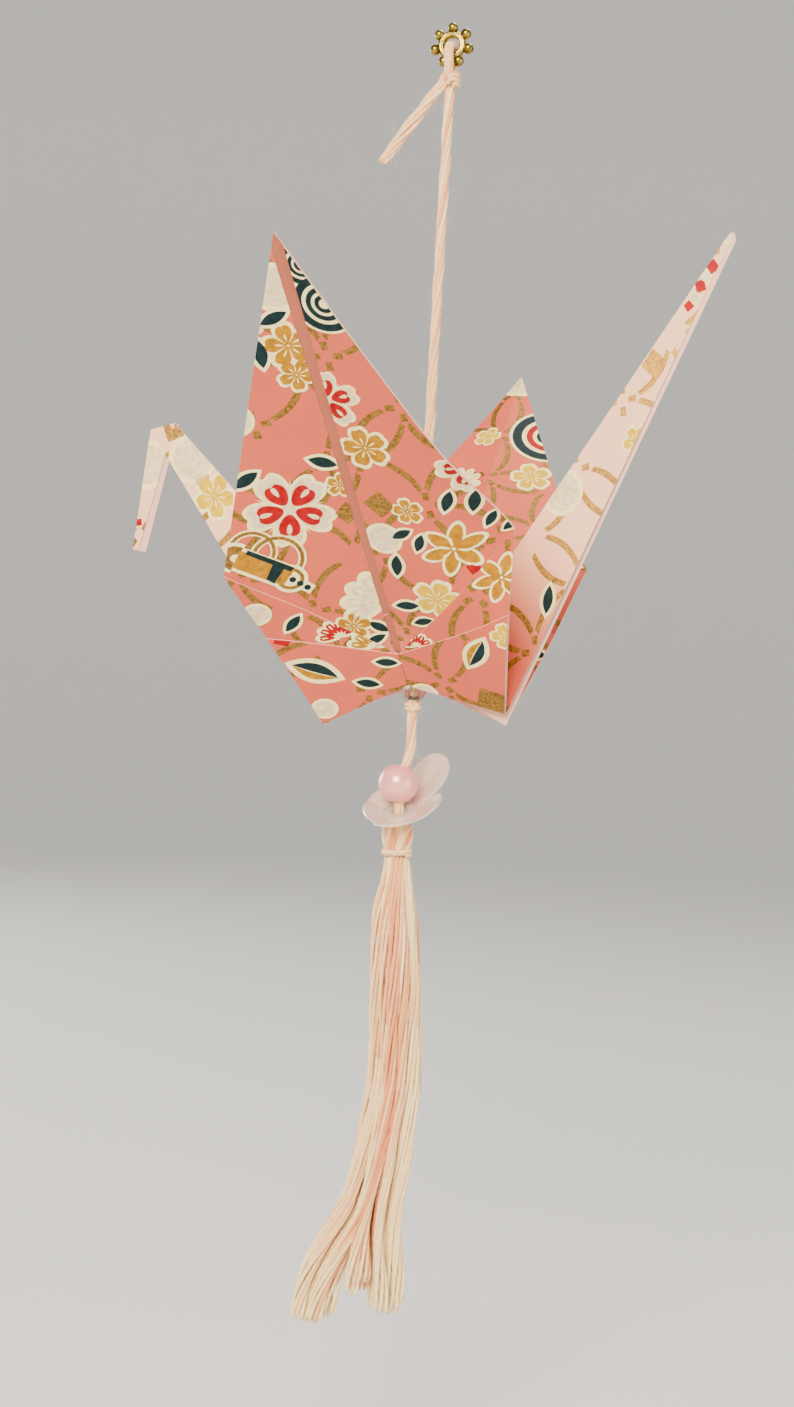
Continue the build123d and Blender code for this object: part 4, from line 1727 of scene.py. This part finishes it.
@dataclass(frozen=True)
class HangingRing:
    """The gold daisy spacer: a grooved ring with seven balls.

    Lengths are in millimetres. The groove's depth is a share of the wire, its width an angle round it.
    """

    ring: float = 1.27
    wire: float = 0.42
    balls: int = 7
    ball: float = 0.62
    ball_circle: float = 2.03
    groove: float = 0.16
    groove_width: float = 0.28

    def build(self) -> bpy.types.Object:
        """Turn the ring about its axis with a groove in its face, and set the balls round it."""
        surface = Surface()
        axis = np.array([0, 1.0, 0])
        a = np.linspace(0, TURN, 40, endpoint=False)
        from_groove = np.abs(np.abs(a - math.pi) - math.pi / 2)
        swell = self.wire * (1 - self.groove * np.exp(-((from_groove / self.groove_width) ** 2)))
        profile = np.stack([self.ring + swell * np.cos(a), swell * np.sin(a)], -1)
        surface.add(*turning(profile * MM, 72, np.zeros(3), axis))
        for k in range(self.balls):
            t = math.pi / 2 + k * TURN / self.balls
            centre = np.array([math.cos(t), 0, math.sin(t)]) * self.ball_circle * MM
            surface.add(*bead(self.ball, 0.0, centre, axis, 28))
        obj = surface.build("daisy_ring", [Gold()])
        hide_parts("hanging_ring")
        return obj


def bead(
    radius: float, bore: float, centre: Array, axis: Array, sides: int = 56
) -> tuple[Array, list[Array]]:
    """A ball, with a straight bore whose edges are a little rounded, or without one.

    Args:
        radius: the ball's radius, in millimetres.
        bore: the bore's radius, in millimetres, or zero for none.
        centre: the ball's middle, in metres.
        axis: the bore's direction.
        sides: steps round the axis.

    Returns:
        The points and the face arrays.
    """
    t = np.linspace(-math.pi / 2, math.pi / 2, 40)
    outside = np.stack([radius * np.cos(t), radius * np.sin(t)], -1)
    if not bore:
        return turning((outside + [POLE, 0]) * MM, sides, centre, axis)
    outside = outside[outside[:, 0] >= bore + 0.12 * radius]
    top = outside[-1]
    t = t[len(t) // 2 :]
    lip = np.stack([bore + (top[0] - bore) * np.cos(t), top[1] + 0.02 * radius * np.sin(t)], -1)
    lower = lip[::-1] * [1, -1]
    return turning(np.concatenate([outside, lip, lower]) * MM, sides, centre, axis)


@dataclass(frozen=True)
class Beads:
    """The clear bead that carries the crane and the pink pearl over the flower.

    Lengths are in millimetres.
    """

    clear_radius: float = 1.4
    clear_z: float = -74.95
    pearl_radius: float = 2.35
    bore: float = 0.69

    def build(self) -> list[bpy.types.Object]:
        """Make both, each on the cord's line."""
        clear, pearl = Surface(), Surface()
        clear.add(*bead(self.clear_radius, self.bore, np.array([0, 0, self.clear_z]) * MM, UP))
        along = aside(*ABOVE_PEARL) - aside(*BELOW_PEARL)
        pearl.add(*bead(self.pearl_radius, self.bore, aside(*IN_PEARL), along, 72))
        glassy = Clear("clear_glass", (0.98, 0.97, 0.95), roughness=0.02, transmission=1.0)
        glass = clear.build("glass_bead", [glassy])
        pink = pearl.build("pearl", [Pearl()])
        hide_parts("clear_bead")
        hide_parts("pearl_bead")
        return [glass, pink]


@dataclass(frozen=True)
class FlowerCap:
    """The frosted flower that the pearl sits in: five cupped petals on a hub, tipped on the cord.

    Lengths are in millimetres, and the first petal's direction, the leans, the rise and the curl in degrees.
    Where a petal curls, rounds off and is widest is given as shares of its length.
    """

    first: float = -48.0
    lengths: tuple[float, ...] = (7.8, 4.9, 4.4, 3.5, 3.4)
    lean_left: float = 14.0
    lean_near: float = 32.0
    width: float = 5.0
    thick: float = 0.58
    rise: float = 20.0
    curl: float = 36.0
    cup: float = 0.16
    curl_from: float = 0.35
    round_from: float = 0.66
    round_over: float = 0.345
    widest_at: float = 0.6
    root_out: float = 0.9
    root_up: float = -0.15
    hub_half: float = 0.5
    hub_out: float = -0.75
    hub_behind: float = 0.25
    hub_z: float = -89.1
    hub_radius: float = 2.1
    hub_bore: float = 0.8

    def build(self) -> bpy.types.Object:
        """Carry a flat oval along each petal's line.

        The line leaves the hub and climbs ever more steeply. The oval is as wide as the petal, which opens
        from a narrow root to a round end, and its sides are lifted into a cup by the square of the way
        across.

        Returns:
            The flower's object.
        """
        right, ahead = picture_axes()
        axis = turned(turned(UP, -ahead, self.lean_left), right, self.lean_near)
        side = turned(turned(right, -ahead, self.lean_left), right, self.lean_near)
        nearer = np.cross(side, axis)
        centre = aside(self.hub_out, self.hub_z) + ahead * self.hub_behind * MM
        surface = Surface()
        u = np.linspace(0, 1, 30)
        climb = np.radians(self.rise + self.curl * (u - self.curl_from))
        steep = np.stack([-np.sin(climb), np.cos(climb)], -1)
        past = np.maximum(u - self.round_from, 0) / self.round_over
        tongue = np.sqrt(np.clip(1 - past**2, 0.0, 1))
        half = self.width / 2 * (0.5 + 0.5 * smooth(u / self.widest_at)) * tongue
        a = np.linspace(0, TURN, 28, endpoint=False)
        across = half[:, None] * np.cos(a)
        rounding = self.thick / 2 * np.sin(a) * (0.6 + 0.4 * np.abs(np.cos(a)) ** 4)
        lift = rounding + self.cup * across**2 / (self.width / 2)
        cap = np.arange(len(a))[None]
        faces = [grid_faces(len(u), len(a), wrap=True), cap[:, ::-1], cap + (len(u) - 1) * len(a)]
        for length, degrees in zip(self.lengths, five(self.first)):
            step = length / (len(u) - 1)
            out = self.root_out + np.cumsum(np.cos(climb)) * step
            up = self.root_up + np.cumsum(np.sin(climb)) * step
            t = math.radians(degrees)
            outward = side * math.cos(t) + nearer * math.sin(t)
            beside = -side * math.sin(t) + nearer * math.cos(t)
            points = (
                (out[:, None] + steep[:, :1] * lift)[..., None] * outward
                + (up[:, None] + steep[:, 1:] * lift)[..., None] * axis
                + across[..., None] * beside
            )
            surface.add(centre + points * MM, faces)
        t = np.linspace(0, TURN, 32, endpoint=False)
        middle, swell = (self.hub_radius + self.hub_bore) / 2, (self.hub_radius - self.hub_bore) / 2
        hub = np.stack([middle + swell * np.cos(t), self.hub_half * np.sin(t)], -1)
        surface.add(*turning(hub * MM, 48, centre, axis))
        frosted = Clear("frosted_plastic", (0.96, 0.80, 0.70), roughness=0.34, transmission=0.60, ior=1.45)
        obj = surface.build("flower", [frosted])
        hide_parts("flower_cap")
        return obj


@dataclass(frozen=True)
class Tassel:
    """The bundle of floss: a looped head, a tie, and a skirt that parts into locks.

    Lengths are in millimetres. The widths, drifts and flats are given at shares of the skirt's length, the
    first two in radii. The locks' ends, and their goals from left to right, are for the left, the middle
    and the right lock, which part at shares of the lengths ranked from the left.
    """

    lengths: int = 30
    stations: int = 64
    ranked_at: int = 44
    mean: int = 9
    fill: float = 0.88
    top_z: float = -89.9
    tie_z: float = -93.7
    radius: float = 3.35
    neck: float = 1.5
    out: float = -0.9
    ends: tuple[float, float, float] = (-147.6, -143.7, -146.3)
    shares: tuple[float, ...] = (0.0, 0.04, 0.12, 0.30, 0.52, 0.67, 0.80, 1.0)
    widths: tuple[float, ...] = (0.27, 0.38, 0.66, 0.92, 0.99, 1.06, 1.18, 1.38)
    drifts: tuple[float, ...] = (-0.27, -0.24, -0.24, -0.03, 0.09, -0.15, -0.57, -1.07)
    flats: tuple[float, ...] = (1.0, 1.0, 1.0, 1.0, 1.0, 0.9, 0.8, 0.7)
    parting: tuple[float, float] = (0.44, 0.60)
    goal_ranks: tuple[float, ...] = (0.0, 0.44, 0.45, 0.60, 0.61, 1.0)
    goals: tuple[float, ...] = (-9.3, -5.6, -3.0, -1.5, -0.7, 2.2)
    golden_turn: float = 2.39996
    twist: float = 0.35
    wave: float = 0.28
    uneven: tuple[float, float] = (-0.9, 1.3)
    pinkest: float = 0.55
    pull_from: float = 0.74
    pull_over: float = 0.26
    loose_from: float = 0.8
    loose_over: float = 0.2
    hairs: int = 5
    seed: int = 11
    strand_seed: int = 40
    hair_seed: int = 200
    head_seed: int = 5
    loop_seed: int = 80
    tie_seed: int = 7
    skirt_floss: Bundle = Bundle(thread=0.21, spread=0.44, pitch=26)
    head_floss: Bundle = Bundle(thread=0.25, spread=0.38, pitch=12)
    loops: int = 9

    def skirt(self) -> Surface:
        """Lay the lengths of floss side by side from the tie to their ends.

        Their places fill a disc as seeds fill a sunflower's head. The disc grows, drifts and flattens down
        the skirt, and over the last quarter the lengths draw together sideways into a left, a short middle
        and a right lock. Towards the middle of the skirt the floss is pinker, towards its sides and ends
        paler.

        Returns:
            The skirt's surface.
        """
        rng = np.random.default_rng(self.seed)
        right, ahead = picture_axes()
        k = np.arange(self.lengths)
        seed_r, seed_a = np.sqrt((k + 0.5) / self.lengths) * self.fill, k * self.golden_turn
        f = np.linspace(0, 1, self.stations)
        kernel = np.hanning(self.mean)
        kernel = kernel / kernel.sum()

        def eased(values: tuple[float, ...], scale: float) -> Array:
            """Values at the shares, joined by lines and smoothed by a running mean."""
            run = np.interp(f, self.shares, values) * scale
            return np.convolve(np.pad(run, self.mean // 2, mode="edge"), kernel, "valid")

        width, drift = eased(self.widths, self.radius), eased(self.drifts, self.radius)
        flat = eased(self.flats, 1.0)
        angle = seed_a[:, None] + self.twist * f + rng.uniform(-0.15, 0.15, (self.lengths, 1))
        x = drift + width * seed_r[:, None] * np.cos(angle)
        y = width * flat * seed_r[:, None] * np.sin(angle)
        rank = np.argsort(np.argsort(x[:, self.ranked_at])) / (self.lengths - 1)
        lock = np.where(rank < self.parting[0], 0, np.where(rank < self.parting[1], 1, 2))
        goal = np.interp(rank, self.goal_ranks, self.goals)
        pull = smooth((f - self.pull_from) / self.pull_over)[None]
        x = x * (1 - pull) + goal[:, None] * pull
        wave = self.wave * np.sin(7.5 * f + rng.uniform(0, 6.28, (self.lengths, 1))) * smooth(f / 0.2)
        x, y = x + wave, y + wave[::-1] * 0.7
        end = np.array(self.ends)[lock] + rng.uniform(*self.uneven, self.lengths)
        z = self.tie_z + (end - self.tie_z)[:, None] * f
        lines = (x[..., None] * right + y[..., None] * ahead + z[..., None] * UP) * MM
        surface = Surface()
        loose = smooth((f - self.loose_from) / self.loose_over)
        swell = 0.9 + 0.8 * loose + 0.2 * np.sin(5 * f)
        for n, line in enumerate(lines):
            own = abs(rank[n] - self.pinkest) * 1.5 - 0.5 + rng.uniform(-0.22, 0.22)
            tone = own + 0.15 * np.sin(4 * f + n) + 0.6 * loose
            self.skirt_floss.lay(surface, line, swell, self.strand_seed + n, tone)
            fuzz(surface, line, self.hairs, self.hair_seed + n)
        return surface

    def head(self, surface: Surface) -> None:
        """Arch lengths of floss over the head, from one side of the tie to the other."""
        right, ahead = picture_axes()
        rng = np.random.default_rng(self.head_seed)
        base = aside(self.out, self.tie_z)
        t = np.linspace(0, math.pi, 40)
        reach = np.cos(t) * (0.9 + 0.85 * np.sin(t) ** 0.7)
        height = (self.top_z - 0.5 - self.tie_z) * np.sin(t) ** 0.55
        for n in range(self.loops):
            a = n * 0.75 + 0.4
            over = right * math.cos(a) + ahead * math.sin(a)
            beside = -right * math.sin(a) + ahead * math.cos(a)
            shift = (rng.uniform(-0.7, 0.7) + 0.3 * np.cos(2 * t)) * np.sin(t)
            arch = reach[:, None] * over + shift[:, None] * beside + height[:, None] * UP
            line = evenly(base + MM * arch, 0.25 * MM)
            self.head_floss.lay(surface, line, 1.0, self.loop_seed + n, rng.uniform(-0.4, 0.2))

    def build(self, floss: Finish) -> list[bpy.types.Object]:
        """Make the tassel and its tie."""
        surface = self.skirt()
        self.head(surface)
        tassel = surface.build("tassel_floss", [floss])
        wound = Surface()
        wrap = Bundle(strands=3, thread=0.12, spread=0.11, pitch=7)
        turns = winding(aside(self.out, self.tie_z), self.neck + wrap.thread, rise=0.55, turns=2.2, steps=120)
        wrap.lay(wound, turns, 1.0, self.tie_seed, 0.1)
        tie = wound.build("tassel_wrap", [floss])
        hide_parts("tassel")
        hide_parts("tassel_tie")
        return [tassel, tie]


@dataclass(frozen=True)
class Studio:
    """The camera at the photograph's place, a pale card below and all round, and soft lamps.

    The camera's distance and its shifts to the left and down are in halves of the sheet's side, its roll is
    in degrees, and the card's measures are in metres.
    """

    focal_px: float = 1900.0
    frame_height_px: float = 1407.0
    sensor: float = 36.0
    distance: float = 3.734
    roll: float = 3.376
    left: float = 0.032
    below: float = 0.077
    floor: float = -0.172
    floor_radius: float = 1.0
    card_bend: float = 0.6
    card_top: float = 1.9
    aim_z: float = -0.065
    world_colour: Colour = (1.0, 0.95, 0.89)
    world_strength: float = 0.29

    def build(self, crane: Crane) -> None:
        """Set the camera, the card and the lamps."""
        right, ahead = picture_axes()
        u = crane.unit_mm * MM
        eye = -right * self.left * u - ahead * self.distance * u
        eye = eye - UP * self.below * u - UP * crane.drop * MM
        r = math.radians(self.roll)
        cx, cy = right * math.cos(r) + UP * math.sin(r), -right * math.sin(r) + UP * math.cos(r)
        data = bpy.data.cameras.new("photo_view")
        data.sensor_fit = "VERTICAL"
        data.sensor_height = self.sensor
        data.lens = self.sensor * self.focal_px / self.frame_height_px
        data.clip_start = 0.005
        camera = bpy.data.objects.new("photo_view", data)
        bpy.context.scene.collection.objects.link(camera)
        camera.matrix_world = placed(cx, cy, -ahead, eye)
        bpy.context.scene.camera = camera
        self.card()
        self.lamps(ahead, right)

    def card(self) -> None:
        """A round floor that rises all about in a quarter round: flat, then an arc, then upright."""
        t = np.linspace(0, math.pi / 2, 17)
        radius, bend = self.floor_radius, self.card_bend
        arc = np.stack([radius + bend * np.sin(t), bend * (1 - np.cos(t))], -1)
        profile = np.concatenate([[[0.00001, 0.0]], arc, [[radius + bend, self.card_top]]])
        a = np.linspace(0, TURN, 96, endpoint=False)
        way = np.stack([np.cos(a), np.sin(a), np.zeros_like(a)], -1)
        points = profile[:, None, :1] * way + (profile[:, None, 1:] + self.floor) * UP
        faces = grid_faces(len(profile), len(a), wrap=True)
        mesh = bpy.data.meshes.new("studio_card")
        mesh.from_pydata(points.reshape(-1, 3).tolist(), [], faces.tolist())
        mesh.polygons.foreach_set("use_smooth", np.full(len(mesh.polygons), True))
        mesh.materials.append(Backdrop().material())
        obj = bpy.data.objects.new("studio_card", mesh)
        bpy.context.scene.collection.objects.link(obj)

    def lamps(self, ahead: Array, right: Array) -> None:
        """A warm key from above the camera, a wide fill from the right, a rim from above and a lamp behind.

        Args:
            ahead: the direction away from the camera.
            right: the direction to the picture's right.
        """
        centre = np.array([0, 0, self.aim_z])
        for name, place, size, power, colour in (
            ("key", -right * 0.14 - ahead * 0.50 + UP * 0.24, 0.28, 7.4, (1.0, 0.88, 0.71)),
            ("fill", right * 0.50 - ahead * 0.36 - UP * 0.04, 0.40, 2.7, (1.0, 0.90, 0.76)),
            ("rim", right * 0.12 + ahead * 0.16 + UP * 0.48, 0.30, 2.2, (1.0, 0.96, 0.90)),
            ("back", -right * 0.50 + ahead * 0.42 + UP * 0.10, 0.30, 3.2, (1.0, 0.94, 0.88)),
        ):
            data = bpy.data.lights.new(name, "AREA")
            data.size, data.energy, data.color = size, power, colour
            lamp = bpy.data.objects.new(name, data)
            lamp.visible_camera = False
            bpy.context.scene.collection.objects.link(lamp)
            z = unit(place)
            x = unit(np.cross(UP, z))
            lamp.matrix_world = placed(x, np.cross(z, x), z, centre + place)
        world = bpy.data.worlds.new("studio")
        world.use_nodes = True
        background = world.node_tree.nodes["Background"]
        background.inputs["Color"].default_value = (*self.world_colour, 1.0)
        background.inputs["Strength"].default_value = self.world_strength
        bpy.context.scene.world = world


def main() -> None:
    """Load the frame, build every piece, and log the sizes of the sheet and the inks."""
    logging.basicConfig(level=logging.INFO, format="%(message)s")
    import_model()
    crane = Crane()
    Studio().build(crane)
    # Each paper's last colour is the pale one of its painted highlight.
    ground = Paper("pink_paper", (0.68, 0.118, 0.062), (0.58, 0.092, 0.047), (0.95, 0.57, 0.36))
    back = Paper("paper_back", (0.82, 0.52, 0.42), (0.74, 0.44, 0.35), (0.86, 0.60, 0.46))
    # Painted shade: a darker brown paper for the inner layer seen through the wing's slit.
    inside = Paper("inner_paper", (0.44, 0.122, 0.066), (0.37, 0.10, 0.055), (0.60, 0.26, 0.16))
    sheet = crane.build(ground, back, inside)
    LOG.info("%s: %d faces", sheet.name, len(sheet.data.polygons))
    inks = Print().build(crane)
    floss = Floss("cotton_floss", (0.84, 0.27, 0.09), (1.0, 0.79, 0.40))
    HangingCord().build(floss)
    HangingRing().build()
    Beads().build()
    FlowerCap().build()
    Tassel().build(floss)


if __name__ == "__main__":
    main()
